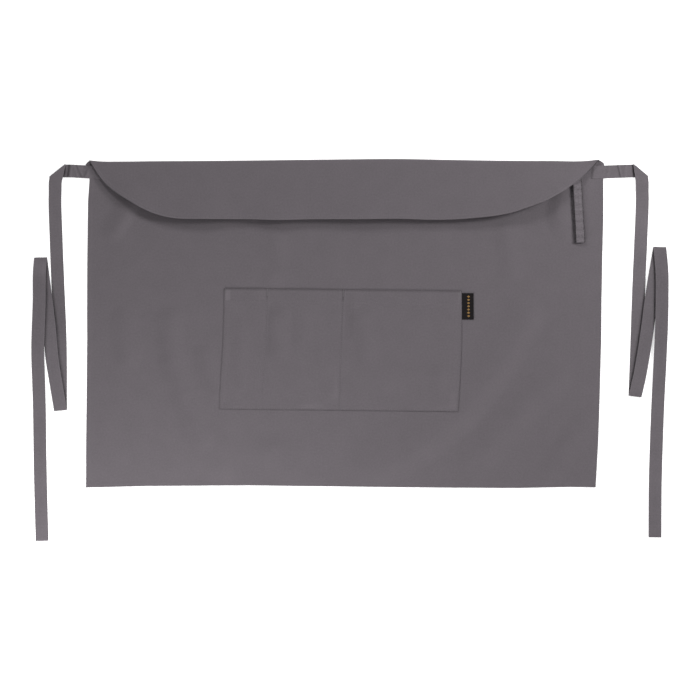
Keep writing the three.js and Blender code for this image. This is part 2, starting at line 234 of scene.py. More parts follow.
@dataclass
class Sheet:
    """A closed cloth sheet round a grid of points on its middle surface.

    The cloth's front is the side that the grid's columns turned towards its rows point to.
    """

    middle: Array
    flat: Array
    front: Array
    back: Array
    wear: Array
    rim_steps: int = 3

    def normals(self) -> Array:
        """Work out which way the cloth's front faces.

        Returns:
            The direction out of it at each point of the grid.
        """
        across = np.empty_like(self.middle)
        across[1:-1] = self.middle[2:] - self.middle[:-2]
        across[0] = self.middle[1] - self.middle[0]
        across[-1] = self.middle[-1] - self.middle[-2]
        along = np.empty_like(self.middle)
        along[:, 1:-1] = self.middle[:, 2:] - self.middle[:, :-2]
        along[:, 0] = self.middle[:, 1] - self.middle[:, 0]
        along[:, -1] = self.middle[:, -1] - self.middle[:, -2]
        return normalised(np.cross(across, along))

    def front_face(self) -> Array:
        """Return the points of the front face."""
        return self.middle + self.normals() * self.front[..., None]

    def back_face(self) -> Array:
        """Return the points of the back face."""
        return self.middle - self.normals() * self.back[..., None]

    def flat_area(self) -> float:
        """Measure the middle surface.

        Returns:
            Its area, in square metres.
        """
        first = self.middle[1:, 1:] - self.middle[:-1, :-1]
        second = self.middle[:-1, 1:] - self.middle[1:, :-1]
        return float(np.linalg.norm(np.cross(first, second), axis=-1).sum() / 2)

    def ring(self) -> Array:
        """Find the grid's border.

        Returns:
            Its points, as indexes, anticlockwise seen from the front.
        """
        columns, rows = self.middle.shape[:2]
        index = np.arange(columns * rows).reshape(columns, rows)
        return np.concatenate([index[:, 0], index[-1, 1:], index[-2::-1, -1], index[0, -2:0:-1]])

    def build(self, name: str) -> bpy.types.Object:
        """Make the closed mesh, with rounded rims, its flat map and its tint: fading with use, and painted
        light and shade.

        Args:
            name: the piece's name.

        Returns:
            The new object.
        """
        columns, rows = self.middle.shape[:2]
        count = columns * rows
        ring = self.ring()
        middle = self.middle.reshape(-1, 3)[ring]
        normal = self.normals().reshape(-1, 3)[ring]
        outward = normalised(np.cross(np.roll(middle, -1, 0) - np.roll(middle, 1, 0), normal))
        front = self.front.reshape(-1, 1)[ring]
        back = self.back.reshape(-1, 1)[ring]
        rims = []
        for step in range(1, self.rim_steps + 1):
            turn = math.pi * (0.5 - step / (self.rim_steps + 1))
            reach = (front + back) / 2
            height = (front - back) / 2 + reach * math.sin(turn)
            rims.append(middle + normal * height + outward * reach * math.cos(turn))
        points = np.concatenate([self.front_face().reshape(-1, 3), self.back_face().reshape(-1, 3), *rims])
        index = np.arange(count).reshape(columns, rows)
        corners = [index[:-1, :-1], index[1:, :-1], index[1:, 1:], index[:-1, 1:]]
        upper = np.stack(corners, -1).reshape(-1, 4)
        lower = count + np.stack(corners[::-1], -1).reshape(-1, 4)
        rim_rows = [2 * count + step * len(ring) + np.arange(len(ring)) for step in range(self.rim_steps)]
        levels = [ring, *rim_rows, count + ring]
        bands = [
            np.stack([below, np.roll(below, -1), np.roll(above, -1), above], -1)
            for above, below in zip(levels, levels[1:])
        ]
        faces = np.concatenate([upper, lower, *bands])
        piece = add_object(name, points, faces.tolist())
        source = np.concatenate([np.arange(count), np.arange(count), *[ring] * self.rim_steps])
        mesh = piece.data
        chosen = source[faces.reshape(-1)]
        flat = mesh.uv_layers.new(name=FLAT_MAP)
        flat.data.foreach_set("uv", self.flat.reshape(-1, 2)[chosen].astype(np.float32).reshape(-1))
        worn_and_shaded = mesh.attributes.new(WEAR_AND_SHADING, "FLOAT", "POINT")
        worn_and_shaded.data.foreach_set("value", self.wear.reshape(-1)[source].astype(np.float32))
        return piece


class Shade:
    """A shader value: one output socket, with the arithmetic that the finishes use."""

    def __init__(self, graph: "Graph", socket: bpy.types.NodeSocket) -> None:
        """Wrap one output socket of a graph."""
        self.graph = graph
        self.socket = socket

    def math(self, operation: str, other: "Shade | float" = 0.0) -> "Shade":
        """Add a Math node that takes this value and another."""
        return self.graph.add("ShaderNodeMath", {"operation": operation}, {0: self, 1: other})

    def __add__(self, other: "Shade | float") -> "Shade":
        """Add."""
        return self.math("ADD", other)

    def __radd__(self, other: float) -> "Shade":
        """Add to a number."""
        return self.math("ADD", other)

    def __mul__(self, other: "Shade | float") -> "Shade":
        """Multiply."""
        return self.math("MULTIPLY", other)

    def __rmul__(self, other: float) -> "Shade":
        """Multiply a number."""
        return self.math("MULTIPLY", other)

    def __sub__(self, other: "Shade | float") -> "Shade":
        """Subtract."""
        return self.math("SUBTRACT", other)

    def __rsub__(self, other: float) -> "Shade":
        """Subtract from a number."""
        return self.graph.add("ShaderNodeMath", {"operation": "SUBTRACT"}, {0: other, 1: self})


class Graph:
    """The nodes of one material, from its Principled shader back."""

    def __init__(self, name: str) -> None:
        """Make an empty material with one Principled shader.

        Args:
            name: the material's name.
        """
        self.material = bpy.data.materials.new(name)
        self.material.use_nodes = True
        self.tree = self.material.node_tree
        self.shader = self.tree.nodes["Principled BSDF"]

    def add(
        self,
        kind: str,
        settings: dict[str, Any] | None = None,
        inputs: dict[str | int, Any] | None = None,
        output: str | int = 0,
    ) -> Shade:
        """Add one node.

        Args:
            kind: the node's type.
            settings: its own settings, set before its sockets.
            inputs: the value of, or the shade linked to, each socket.
            output: the socket that is returned.

        Returns:
            The chosen output.
        """
        node = self.tree.nodes.new(kind)
        for key, value in (settings or {}).items():
            setattr(node, key, value)
        for key, value in (inputs or {}).items():
            if isinstance(value, Shade):
                self.tree.links.new(value.socket, node.inputs[key])
            else:
                node.inputs[key].default_value = value
        return Shade(self, node.outputs[output])

    def feed(self, socket: str, shade: Shade) -> None:
        """Link a shade to a socket of the Principled shader."""
        self.tree.links.new(shade.socket, self.shader.inputs[socket])

    def hold(self, values: dict[str, Any]) -> None:
        """Set sockets of the Principled shader that are the same all over."""
        for socket, value in values.items():
            self.shader.inputs[socket].default_value = value

    def noise(self, place: Shade, size: float, detail: float = 2.0) -> Shade:
        """Add soft noise.

        Args:
            place: the coordinates that it reads.
            size: about how wide its spots are, in metres.
            detail: how many finer layers it has.

        Returns:
            A value about 0, from about -0.5 to 0.5.
        """
        settings = {"noise_dimensions": "3D"}
        inputs = {"Vector": place, "Scale": 1.0 / size, "Detail": detail, "Roughness": 0.5}
        return self.add("ShaderNodeTexNoise", settings, inputs) - 0.5

    def tinted(self, colour: Colour, factor: Shade) -> Shade:
        """Return a colour made lighter or darker by a factor."""
        settings = {"operation": "SCALE"}
        return self.add("ShaderNodeVectorMath", settings, {"Vector": colour, "Scale": factor})


@dataclass(frozen=True)
class WovenFinish:
    """Woven cotton: diagonal ridges, slubs, flecks, a soft mottle, and the tint that each piece carries:
    paler edges with use, and painted light and shade.
    """

    name: str
    colour: Colour
    ridge_pitch: float = 1.1 * MM
    ridge_slope: float = 0.75
    ridge_depth: float = 0.10 * MM
    ridge_tint: float = 0.05
    mottle: float = 0.14
    mottle_size: float = 34 * MM
    fleck: float = 0.30
    fleck_size: float = 3.4 * MM
    fleck_roughness: float = 0.08
    slub_size: float = 5 * MM
    slub_bend: float = 3.0
    cross_pitch: float = 1.6
    wear: float = 0.14
    roughness: float = 0.88
    sheen: float = 0.12
    gloss: float = 0.2

    def build(self) -> bpy.types.Material:
        """Make the material.

        Returns:
            Cloth that reads its flat map and its wear.
        """
        graph = Graph(self.name)
        place = graph.add("ShaderNodeUVMap", {"uv_map": FLAT_MAP})
        worn_and_shaded = graph.add("ShaderNodeAttribute", {"attribute_name": WEAR_AND_SHADING}, output="Fac")
        across = graph.add("ShaderNodeSeparateXYZ", inputs={"Vector": place}, output="X")
        along = graph.add("ShaderNodeSeparateXYZ", inputs={"Vector": place}, output="Y")
        turns = math.tau / self.ridge_pitch
        slub = graph.noise(place, self.slub_size)
        across_ridge = (across + along * self.ridge_slope) * turns + slub * self.slub_bend
        ridge = across_ridge.math("SINE") * 0.5 + 0.5
        across_thread = (across - along * self.ridge_slope) * (turns * self.cross_pitch)
        thread = across_thread.math("SINE") * 0.5 + 0.5
        weave = ridge * (0.7 + 0.3 * thread)
        mottle = graph.noise(place, self.mottle_size, 3.0)
        fleck = graph.noise(place, self.fleck_size, 2.0)
        shade = 1.0 + weave * self.ridge_tint - 0.5 * self.ridge_tint
        # The tint that each piece carries: fading with use, and painted light and shade
        shade = shade + mottle * self.mottle + fleck * self.fleck + worn_and_shaded * self.wear
        graph.feed("Base Color", graph.tinted(self.colour, shade))
        graph.feed("Roughness", self.roughness + fleck * self.fleck_roughness)
        height = weave + slub * 0.4 + fleck * 0.6
        inputs = {"Height": height, "Strength": 0.6, "Distance": self.ridge_depth}
        graph.feed("Normal", graph.add("ShaderNodeBump", {}, inputs))
        graph.hold({"Sheen Weight": self.sheen, "Sheen Roughness": 0.5, "Specular IOR Level": self.gloss})
        return graph.material


@dataclass(frozen=True)
class ThreadFinish:
    """Twisted sewing thread, on Object coordinates."""

    name: str
    colour: Colour
    twist_pitch: float = 0.7 * MM
    twist_tint: float = 0.25
    tone_size: float = 9 * MM
    tone_tint: float = 0.3
    roughness: float = 0.6

    def build(self) -> bpy.types.Material:
        """Make the material.

        Returns:
            Thread with a twist in it.
        """
        graph = Graph(self.name)
        place = graph.add("ShaderNodeTexCoord", output="Object")
        inputs = {"Vector": place, "Scale": math.tau / 20 / self.twist_pitch, "Distortion": 0.5}
        twist = graph.add("ShaderNodeTexWave", {"bands_direction": "DIAGONAL"}, inputs, "Fac") - 0.5
        tone = graph.noise(place, self.tone_size)
        shade = 1.0 + twist * self.twist_tint + tone * self.tone_tint
        graph.feed("Base Color", graph.tinted(self.colour, shade))
        graph.feed("Roughness", self.roughness + tone * 0.1)
        inputs = {"Height": twist, "Strength": 0.5, "Distance": 0.08 * MM}
        graph.feed("Normal", graph.add("ShaderNodeBump", {}, inputs))
        graph.hold({"Specular IOR Level": 0.35})
        return graph.material


@dataclass(frozen=True)
class FloorFinish:
    """A plain pale floor, lit through from below as a light table is."""

    name: str = "pale_floor"
    colour: Colour = (0.86, 0.86, 0.86)
    glow: float = 0.5

    def build(self) -> bpy.types.Material:
        """Make the material.

        Returns:
            A pale floor with a faint glow.
        """
        graph = Graph(self.name)
        place = graph.add("ShaderNodeTexCoord", output="Object")
        graph.feed("Base Color", graph.tinted(self.colour, 1.0 + graph.noise(place, 0.7) * 0.01))
        glow = {"Emission Color": (1.0, 1.0, 1.0, 1.0), "Emission Strength": self.glow}
        graph.hold({"Roughness": 0.9, "Specular IOR Level": 0.1, **glow})
        return graph.material


@dataclass(frozen=True)
class Hem:
    """A turned and stitched edge: its width, the height of its layers and the line of its stitches."""

    width: float = 6.5 * MM
    height: float = 0.3 * MM
    stitch_inset: float = 2.6 * MM
    groove: float = 0.2 * MM
    # Above 0 the edge is paler, with use and a painted highlight; below 0 it gets a painted shadow line
    edge_wear_and_shading: float = 0.6
    seam_wear: float = 0.25
    seam_half: float = 0.9 * MM
    line_spread: float = 0.8 * MM
    edge_spread: float = 1.6 * MM
    step_spread: float = 1.2 * MM

    def stops(self) -> list[float]:
        """Say where the cloth's grid has to have its lines.

        Returns:
            Their distances in from the edge.
        """
        line = self.stitch_inset
        seam = [line - self.seam_half, line, line + self.seam_half]
        return [0.0, self.line_spread, *seam, self.width - MM, self.width, self.width + MM]

    def both_sides(self, width: float) -> list[float]:
        """Return the places that the grid of a cloth of a width has to have, from one edge."""
        insets = self.stops()
        return insets + [width - inset for inset in insets]

    def raised(self, inset: Array) -> Array:
        """Return how far the hem stands up, at a distance in from the edge."""
        layers = self.height * (1.0 - ease(inset, self.width - MM, self.width + 0.6 * MM))
        return layers - self.groove * bell(inset, self.stitch_inset, self.line_spread)

    def worn_and_shaded(self, inset: Array) -> Array:
        """Return the hem's tint: paler at its edge, with use and a painted highlight, darker there as a
        painted shadow line when the edge's setting is below 0, and paler again where its layers end.
        """
        edge = self.edge_wear_and_shading * bell(inset, 0.0, self.edge_spread)
        return edge + self.seam_wear * bell(inset, self.width, self.step_spread)


@dataclass
class Stitches:
    """Rows of sewing thread, gathered and made as one mesh."""

    thread: float = 0.55 * MM
    length: float = 3.2 * MM
    gap: float = 1.2 * MM
    sink: float = 0.3
    sides: int = 6
    rings: int = 4
    placed: list[tuple[Array, Array, Array, float]] = field(default_factory=list)

    def row(self, path: Array, normals: Array) -> None:
        """Sew along a path.

        Args:
            path: points on the cloth's face.
            normals: the direction out of the cloth at each of them.
        """
        reached = distances(path)
        pitch = self.length + self.gap
        count = int(reached[-1] // pitch)
        if count < 1:
            return
        starts = (reached[-1] - count * pitch + self.gap) / 2 + pitch * np.arange(count)
        first = read_along(reached, path, starts)
        last = read_along(reached, path, starts + self.length)
        upward = read_along(reached, normals, starts + self.length / 2)
        self.placed.append(((first + last) / 2, last - first, upward, self.length))

    def bar(self, start: Array, end: Array, normal: Array, width: float) -> None:
        """Sew a bar tack: stitches lying side by side across a short line.

        Args:
            start: one end of the line.
            end: its other end.
            normal: the direction out of the cloth.
            width: the length of each stitch, across the line.
        """
        pitch = self.thread * 0.95
        count = max(2, int(np.linalg.norm(end - start) / pitch))
        share = np.linspace(0.0, 1.0, count)[:, None]
        across = np.cross(normal, normalised(end - start))
        places = start + (end - start) * share
        self.placed.append((places, np.tile(across, (count, 1)), np.tile(normal, (count, 1)), width))

    def template(self) -> tuple[Array, list[list[int]]]:
        """Model one stitch along X, 1 long, as a flattened round-ended thread.

        Returns:
            Its points, and its faces.
        """
        bpy.ops.object.select_all(action="DESELECT")
        bpy.ops.mesh.primitive_uv_sphere_add(segments=self.sides, ring_count=self.rings, radius=0.5)
        stitch = bpy.context.object
        bpy.ops.object.mode_set(mode="EDIT")
        bpy.ops.mesh.select_all(action="SELECT")
        centre = {"center_override": (0.0, 0.0, 0.0)}
        bpy.ops.transform.rotate(value=math.pi / 2, orient_axis="Y", **centre)
        bpy.ops.transform.resize(value=(1.0, 1.0, 0.8), **centre)
        bpy.ops.object.mode_set(mode="OBJECT")
        points = np.array([tuple(vertex.co) for vertex in stitch.data.vertices])
        faces = [list(polygon.vertices) for polygon in stitch.data.polygons]
        bpy.data.objects.remove(stitch, do_unlink=True)
        return points, faces

    def build(self, name: str) -> bpy.types.Object:
        """Make all the stitches as one mesh.

        Args:
            name: the piece's name.

        Returns:
            The new object.
        """
        points, faces = self.template()
        blocks = []
        for places, tangents, normals, length in self.placed:
            along = normalised(tangents)
            across = normalised(np.cross(normals, along))
            up = np.cross(along, across)
            bent = self.sink + 0.5 * (2 * points[:, 0]) ** 2 * (length > 2 * self.thread)
            height = points[:, 2] * self.thread + (0.5 - bent) * self.thread * 0.8
            block = places[:, None] + along[:, None] * (points[:, 0] * length)[None, :, None]
            block = block + across[:, None] * (points[:, 1] * self.thread)[None, :, None]
            blocks.append((block + up[:, None] * height[None, :, None]).reshape(-1, 3))
        vertices = np.concatenate(blocks)
        copies = len(vertices) // len(points)
        starts = [copy * len(points) for copy in range(copies)]
        all_faces = [[corner + start for corner in face] for start in starts for face in faces]
        return add_object(name, vertices, all_faces)


@dataclass
class Strip:
    """One part of a sheet, before the parts are joined.

    along is how far up the cloth each of its points is, and inset how far in from the nearest edge.
    """

    points: Array
    along: Array
    inset: Array
    wear: Array


@dataclass
class Skirt:
    """The main cloth: a panel lying flat, whose waist is rolled over into a flap with curved ends.

    Places are taken across, as a share of the width, and below the waist fold, in metres.
    """

    width: float = 1000 * MM
    drop: float = 637 * MM
    wall: float = 0.8 * MM
    fold_crown: float = 2.5 * MM
    flap_depth: float = 115 * MM
    flap_left_radius: float = 225 * MM
    flap_right_radius: float = 336 * MM
    inset_left: float = 2 * MM
    inset_right: float = 9 * MM
    corner_out: float = 3.5 * MM
    corner_reach: float = 6 * MM
    left_reach: float = 505.2 * MM
    roll: float = 4.0 * MM
    corner_roll: float = 2.2 * MM
    corner_ease: float = 120 * MM
    flap_lift: float = 6.5 * MM
    flap_tip: float = 1.2 * MM
    # A painted shadow line along the flap's edge, at its two ends
    flap_rim_shadow: float = -6.0
    flap_curl: float = 1.5
    hem_share: float = 0.8
    rim_spread: float = 1.1 * MM
    rim_left: float = 0.06
    rim_right: float = 0.035
    roll_steps: int = 10
    roll_paler: float = 0.2
    # Painted light and shade on the folds, for each unit of their slope
    fold_shading_gain: float = 3.6
    long_waves: float = 0.35 * MM
    short_waves: float = 0.16 * MM
    gathers: float = 0.09 * MM
    gathers_from: float = 3 * MM
    gathers_to: float = 13 * MM
    widest_share: float = 1.006
    rolled_in: float = 12 * MM
    hem: Hem = Hem()
    origin: Array = field(init=False)
    fold_left: float = field(init=False)
    fold_right: float = field(init=False)
    arcs: dict[Side, tuple[float, float]] = field(init=False)
    across: Array = field(init=False)
    side_inset: Array = field(init=False)
    fold_x: Array = field(init=False)
    rolls: Array = field(init=False)
    panel_rows: int = field(init=False)
    stitch_column: int = field(init=False)
    stitch_row: int = field(init=False)
    flap_stitch_row: int = field(init=False)

    # Side edges: down as a share of the drop, left and right as shares of the width from the middle
    SIDES = named_rows(
        "down left right",
        (0.0, -0.5002, 0.5010), (0.0153, -0.5066, 0.5022), (0.024, -0.5066, 0.5022),
        (0.029, -0.4980, 0.5010), (0.066, -0.4980, 0.5002), (0.12, -0.5005, 0.5004),
        (0.182, -0.5012, 0.5002), (0.3, -0.5022, 0.4983), (0.426, -0.5025, 0.4968),
        (0.55, -0.5023, 0.4961), (0.73, -0.5035, 0.4931), (0.86, -0.5044, 0.4902),
        (1.0, -0.5047, 0.4854),
    )
    # The line of the waist fold: across as a share of its length, up in millimetres
    FOLD_LINE = named_rows(
        "across up",
        (0.0, -0.8), (0.02, -2.8), (0.06, -3.2), (0.12, -2.6), (0.22, -2.1), (0.315, -1.2),
        (0.41, -0.1), (0.51, 1.1), (0.61, 1.8), (0.71, -0.1), (0.8, -1.4), (0.9, -1.9),
        (0.98, -1.4), (1.0, 0.8),
    )
    # Bottom edge: across as a share of the width, drop as a share of the skirt's drop
    BOTTOM = named_rows(
        "across drop",
        (0.0, 0.9985), (0.12, 0.994), (0.32, 0.992), (0.51, 0.9955), (0.7, 0.9988), (0.85, 0.9998),
        (0.95, 0.9965), (1.0, 0.998),
    )
    # The flap's free edge along the fold: how far it stands up, as a share of the flap's lift
    RISES = named_rows(
        "across rise",
        (0.0, 0.0), (0.03, 0.25), (0.057, 0.7), (0.09, 1.15), (0.13, 1.0), (0.18, 0.9),
        (0.227, 1.1), (0.272, 0.65), (0.315, 0.7), (0.363, 1.1), (0.412, 0.7), (0.47, 0.8),
        (0.55, 1.05), (0.646, 0.95), (0.707, 0.6), (0.745, 1.0), (0.80, 1.4), (0.86, 1.8),
        (0.915, 1.8), (0.95, 1.1), (0.98, 0.4), (1.0, 0.0),
    )
    # How far the flap's free edge strays down from its line and arcs, in millimetres
    FLAP_LINE = named_rows(
        "across stray",
        (0.0, 0.0), (0.033, 0.0), (0.057, -3.6), (0.08, -5.4), (0.104, -4.0), (0.139, -2.3),
        (0.197, -2.6), (0.256, -2.0), (0.315, -1.2), (0.363, 1.0), (0.43, 0.4), (0.549, 1.5),
        (0.607, 1.2), (0.666, 2.0), (0.725, -0.3), (0.764, -3.4), (0.822, -3.8), (0.861, -4.6),
        (0.9, -3.0), (0.94, -3.0), (0.98, -0.8), (1.0, 0.0),
    )
    # Soft folds: ends as shares of the width and drop, flanks and height in millimetres
    FOLDS = named_rows(
        "across down to_across to_down left right height",
        (0.575, 0.944, 0.660, 0.866, 80, 44, 2.8), (0.660, 0.866, 0.726, 0.782, 80, 44, 3.2),
        (0.726, 0.782, 0.802, 0.630, 80, 44, 3.1), (0.802, 0.630, 0.855, 0.482, 70, 42, 2.3),
        (0.775, 0.897, 0.841, 0.779, 52, 40, 2.6), (0.841, 0.779, 0.911, 0.672, 52, 40, 2.4),
        (0.915, 0.947, 0.969, 0.810, 34, 34, 1.6), (0.160, 0.489, 0.164, 0.611, 36, 34, 1.8),
        (0.164, 0.611, 0.191, 0.718, 34, 34, 2.6), (0.191, 0.718, 0.230, 0.856, 34, 36, 2.6),
        (0.230, 0.856, 0.260, 0.932, 52, 40, 2.0), (0.070, 0.489, 0.080, 0.596, 40, 34, 1.6),
        (0.230, 0.596, 0.255, 0.703, 26, 30, 1.5), (0.371, 0.879, 0.425, 0.978, 34, 50, 1.8),
        (0.083, 0.130, 0.053, 0.214, 24, 34, 2.0), (0.362, 0.230, 0.371, 0.337, 30, 50, 1.2),
        (0.925, 0.075, 0.915, 0.165, 72, 30, 4.6), (0.813, 0.214, 0.823, 0.337, 34, 30, 1.6),
    )

    def __post_init__(self) -> None:
        """Take the fold's place from the frame, and work out the flap's arcs and the grid's columns."""
        low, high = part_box("skirt")
        self.origin = np.array([low[0] + self.left_reach, high[1] - self.fold_crown])
        self.fold_left = self.side_x(Side.LEFT, 0.0) + self.inset_left
        self.fold_right = self.side_x(Side.RIGHT, 0.0) - self.inset_right
        self.arcs = {
            Side.LEFT: (self.fold_left + self.arc_run(self.flap_left_radius), self.flap_left_radius),
            Side.RIGHT: (self.fold_right - self.arc_run(self.flap_right_radius), self.flap_right_radius),
        }
        stops = refine(self.hem.both_sides(self.width), CLOTH_STEP)
        self.stitch_column = nearest(stops, self.hem.stitch_inset)
        self.across = (stops / self.width)[:, None]
        self.side_inset = np.minimum(self.across, 1.0 - self.across) * self.width
        self.fold_x = self.fold_left + (self.fold_right - self.fold_left) * self.across
        full = ease(self.side_inset, 0.0, self.corner_ease)
        self.rolls = self.corner_roll + (self.roll - self.corner_roll) * full

    def arc_run(self, radius: float) -> float:
        """Return how far along the fold one curved end of the flap reaches."""
        return math.sqrt(radius**2 - (radius - self.flap_depth) ** 2)

    def side_x(self, side: Side, below: Array) -> Array:
        """Return where a side edge is, from the middle."""
        return look_up(self.SIDES, "down", side.name.lower(), below / self.drop) * self.width

    def corner_x(self, side: Side, below: Array) -> Array:
        """Place a side edge, whose top corner goes on along the flap's arc.

        Args:
            side: which edge.
            below: how far below the waist fold.

        Returns:
            Where it is there, from the middle.
        """
        middle, radius = self.arcs[side]
        height = np.maximum(radius - self.flap_depth - below, 0.0)
        outward = self.corner_out * ease(below, 0.0, self.corner_reach)
        on_arc = middle + side.value * (np.sqrt(radius**2 - height**2) + outward)
        on_side = self.side_x(side, below)
        return np.maximum(on_arc, on_side) if side is Side.LEFT else np.minimum(on_arc, on_side)

    def flat_size(self) -> tuple[float, float]:
        """Return the width and length of the cloth when it is opened out flat."""
        return self.width * self.widest_share, self.drop + self.flap_depth + self.rolled_in

    def flap_edge(self, x: Array) -> tuple[Array, Array]:
        """Work out the flap's edge.

        Args:
            x: places along the fold.

        Returns:
            How far below the fold the edge is there, and how much longer it runs than it goes across.
        """
        depth = np.full_like(x, self.flap_depth)
        stretch = np.ones_like(x)
        for side, (middle, radius) in self.arcs.items():
            past = np.clip((x - middle) * side.value, 0.0, radius * 0.999)
            drop = np.sqrt(radius**2 - past**2)
            depth = np.where(past > 0.0, self.flap_depth - radius + drop, depth)
            stretch = np.where(past > 0.0, radius / drop, stretch)
        return depth, stretch

    def folds(self, across: Array, below: Array) -> Array:
        """Return how far the soft folds lift the cloth off the surface."""
        return ridges(self.FOLDS, (self.width, self.drop), across * self.width, below)

    def fold_shading(self, across: Array, below: Array) -> Array:
        """Return the painted light and shade of the folds: paler where each falls to the right, darker where
        it rises.
        """
        onward = self.folds(across + SHADING_ASIDE * MM / self.width, below + SHADING_DOWN * MM)
        return self.fold_shading_gain * (self.folds(across, below) - onward) / MM

    def waves(self, across: Array, below: Array) -> Array:
        """Shape the faint unevenness of cloth that has been folded away and shaken out.

        Args:
            across: the share of the width.
            below: how far below the waist fold.

        Returns:
            How far it lifts the cloth there.
        """
        x = across * self.width
        first = np.sin(x * 31.0 + 1.3) * np.sin(below * 23.0 + 0.4 + 2.0 * np.sin(x * 7.0))
        second = np.sin(x * 57.0 + below * 38.0 + 2.1) * np.sin(below * 49.0 - x * 21.0)
        return self.long_waves * (1.0 + first) + self.short_waves * (1.0 + second)

    def fold_line(self, across: Array) -> Array:
        """Return how far the waist fold strays up from its straight line."""
        return flow(self.FOLD_LINE, "across", "up", across) * MM

    def lift(self, across: Array, below: Array) -> Array:
        """Return how far the panel is off the surface."""
        return self.folds(across, below) + self.waves(across, below)

    def place(self, across: Array, below: Array) -> tuple[Array, Array]:
        """Place the panel in plan.

        Args:
            across: the share of the width.
            below: how far below the waist fold.

        Returns:
            Where that is, from the middle of the fold.
        """
        bottom = look_up(self.BOTTOM, "across", "drop", across) * self.drop
        left, right = (self.corner_x(side, below) for side in Side)
        x = left + (right - left) * across
        y = self.fold_line(across) * (1.0 - below / bottom) ** 2 - below
        return x, y

    def top_at(self, x: Array, y: Array) -> Array:
        """Find the height of the panel's front.

        Args:
            x: the place, from the middle of the fold.
            y: the same, towards the waist.

        Returns:
            The height there.
        """
        below = -y
        left, right = (self.corner_x(side, below) for side in Side)
        return self.wall + self.lift(np.clip((x - left) / (right - left), 0.0, 1.0), below)

    def pucker(self, run: Array, inset: Array) -> Array:
        """Return the small gathers that a row of stitches pulls into the cloth beside an edge."""
        ripple = np.sin(run * 720.0) + 0.7 * np.sin(run * 1150.0 + 1.0) + 0.5 * np.sin(run * 410.0 + 2.0)
        return self.gathers * (1.0 + ripple) * (1.0 - ease(inset, self.gathers_from, self.gathers_to))

    def panel(self) -> Strip:
        """Lay out the panel: its hem keeps its height, and the rows above share out the room left.

        Returns:
            The panel, with rows from the bottom edge up.
        """
        hem_top = self.hem.stops()[-1]
        bottom = look_up(self.BOTTOM, "across", "drop", self.across) * self.drop
        levels = refine(self.hem.stops() + [self.drop - self.roll], CLOTH_STEP)[None, :]
        spare = np.maximum(levels - hem_top, 0.0) / (levels[0, -1] - hem_top)
        up = np.minimum(levels, hem_top) + spare * (bottom - self.rolls - hem_top)
        below = bottom - up
        x, y = self.place(self.across, below)
        puckered = self.pucker(self.across * self.width, up) + self.pucker(below, self.side_inset)
        z = self.wall / 2 + self.lift(self.across, below) + puckered
        inset = np.minimum(self.side_inset, up)
        self.panel_rows = levels.shape[1]
        self.stitch_row = nearest(levels[0], self.hem.stitch_inset)
        # The hem's edges, and painted light and shade on the folds
        wear = self.hem.worn_and_shaded(inset) + self.fold_shading(self.across, below)
        return Strip(np.stack([x, y, z], -1), up, inset, wear)

    def waist(self, panel: Strip) -> Strip:
        """Lay out the roll of the waist fold, a half turn.

        Args:
            panel: the panel that it goes on from.

        Returns:
            The roll, with rows from the panel round to the flap.
        """
        shape = (len(self.across), self.roll_steps)
        turn = math.pi * np.arange(1, self.roll_steps + 1)[None, :] / self.roll_steps
        x = np.broadcast_to(self.fold_x, shape)
        y = self.fold_line(self.across) - self.rolls + self.rolls * np.sin(turn)
        z = panel.points[:, -1:, 2] + self.rolls * (1.0 - np.cos(turn))
        along = panel.along[:, -1:] + self.rolls * turn
        inset = np.broadcast_to(self.side_inset, shape)
        # The roll over the waist fold is made paler
        return Strip(np.stack([x, y, z], -1), along, inset, self.hem.worn_and_shaded(inset) + self.roll_paler)

    def flap(self, waist: Strip) -> Strip:
        """Lay out the flap, whose hem keeps its width round the curved ends.

        Args:
            waist: the roll that it goes on from.

        Returns:
            The flap, with rows from the roll out to its edge.
        """
        hem_top = self.hem.stops()[-1]
        depth, stretch = self.flap_edge(self.fold_x)
        depth = depth + flow(self.FLAP_LINE, "across", "stray", self.across) * MM
        run = np.maximum(depth, self.rolls + self.flap_tip) - self.rolls
        levels = refine(self.hem.stops() + [self.flap_depth - self.roll], CLOTH_STEP)[None, ::-1]
        spare = np.maximum(levels - hem_top, 0.0) / (levels[0, 0] - hem_top)
        room = np.minimum(hem_top * stretch, run * self.hem_share)
        hem_run = np.minimum(levels, hem_top) * stretch
        in_from_edge = (hem_run * room / (hem_top * stretch) + spare * (run - room))[:, 1:]
        out = run - in_from_edge
        share = out / run
        rise = np.maximum(flow(self.RISES, "across", "rise", self.across), 0.0) * self.flap_lift
        wave = self.waves(self.across, out + self.drop) + self.pucker(self.fold_x, in_from_edge)
        x = np.broadcast_to(self.fold_x, out.shape)
        y = self.fold_line(self.across) - self.rolls - out
        z = waist.points[:, -1:, 2] + rise * share**self.flap_curl + wave * share
        inset = np.minimum(in_from_edge / stretch, self.side_inset + self.hem.width)
        # A painted shadow line along the flap's edge, at its two ends
        at_ends = bell(self.across, 0.0, self.rim_left) + bell(self.across, 1.0, self.rim_right)
        rim_shadow = self.flap_rim_shadow * bell(inset, 0.0, self.rim_spread) * at_ends
        self.flap_stitch_row = -1 - nearest(levels[0, ::-1], self.hem.stitch_inset)
        along = waist.along[:, -1:] + out
        return Strip(np.stack([x, y, z], -1), along, inset, self.hem.worn_and_shaded(inset) + rim_shadow)

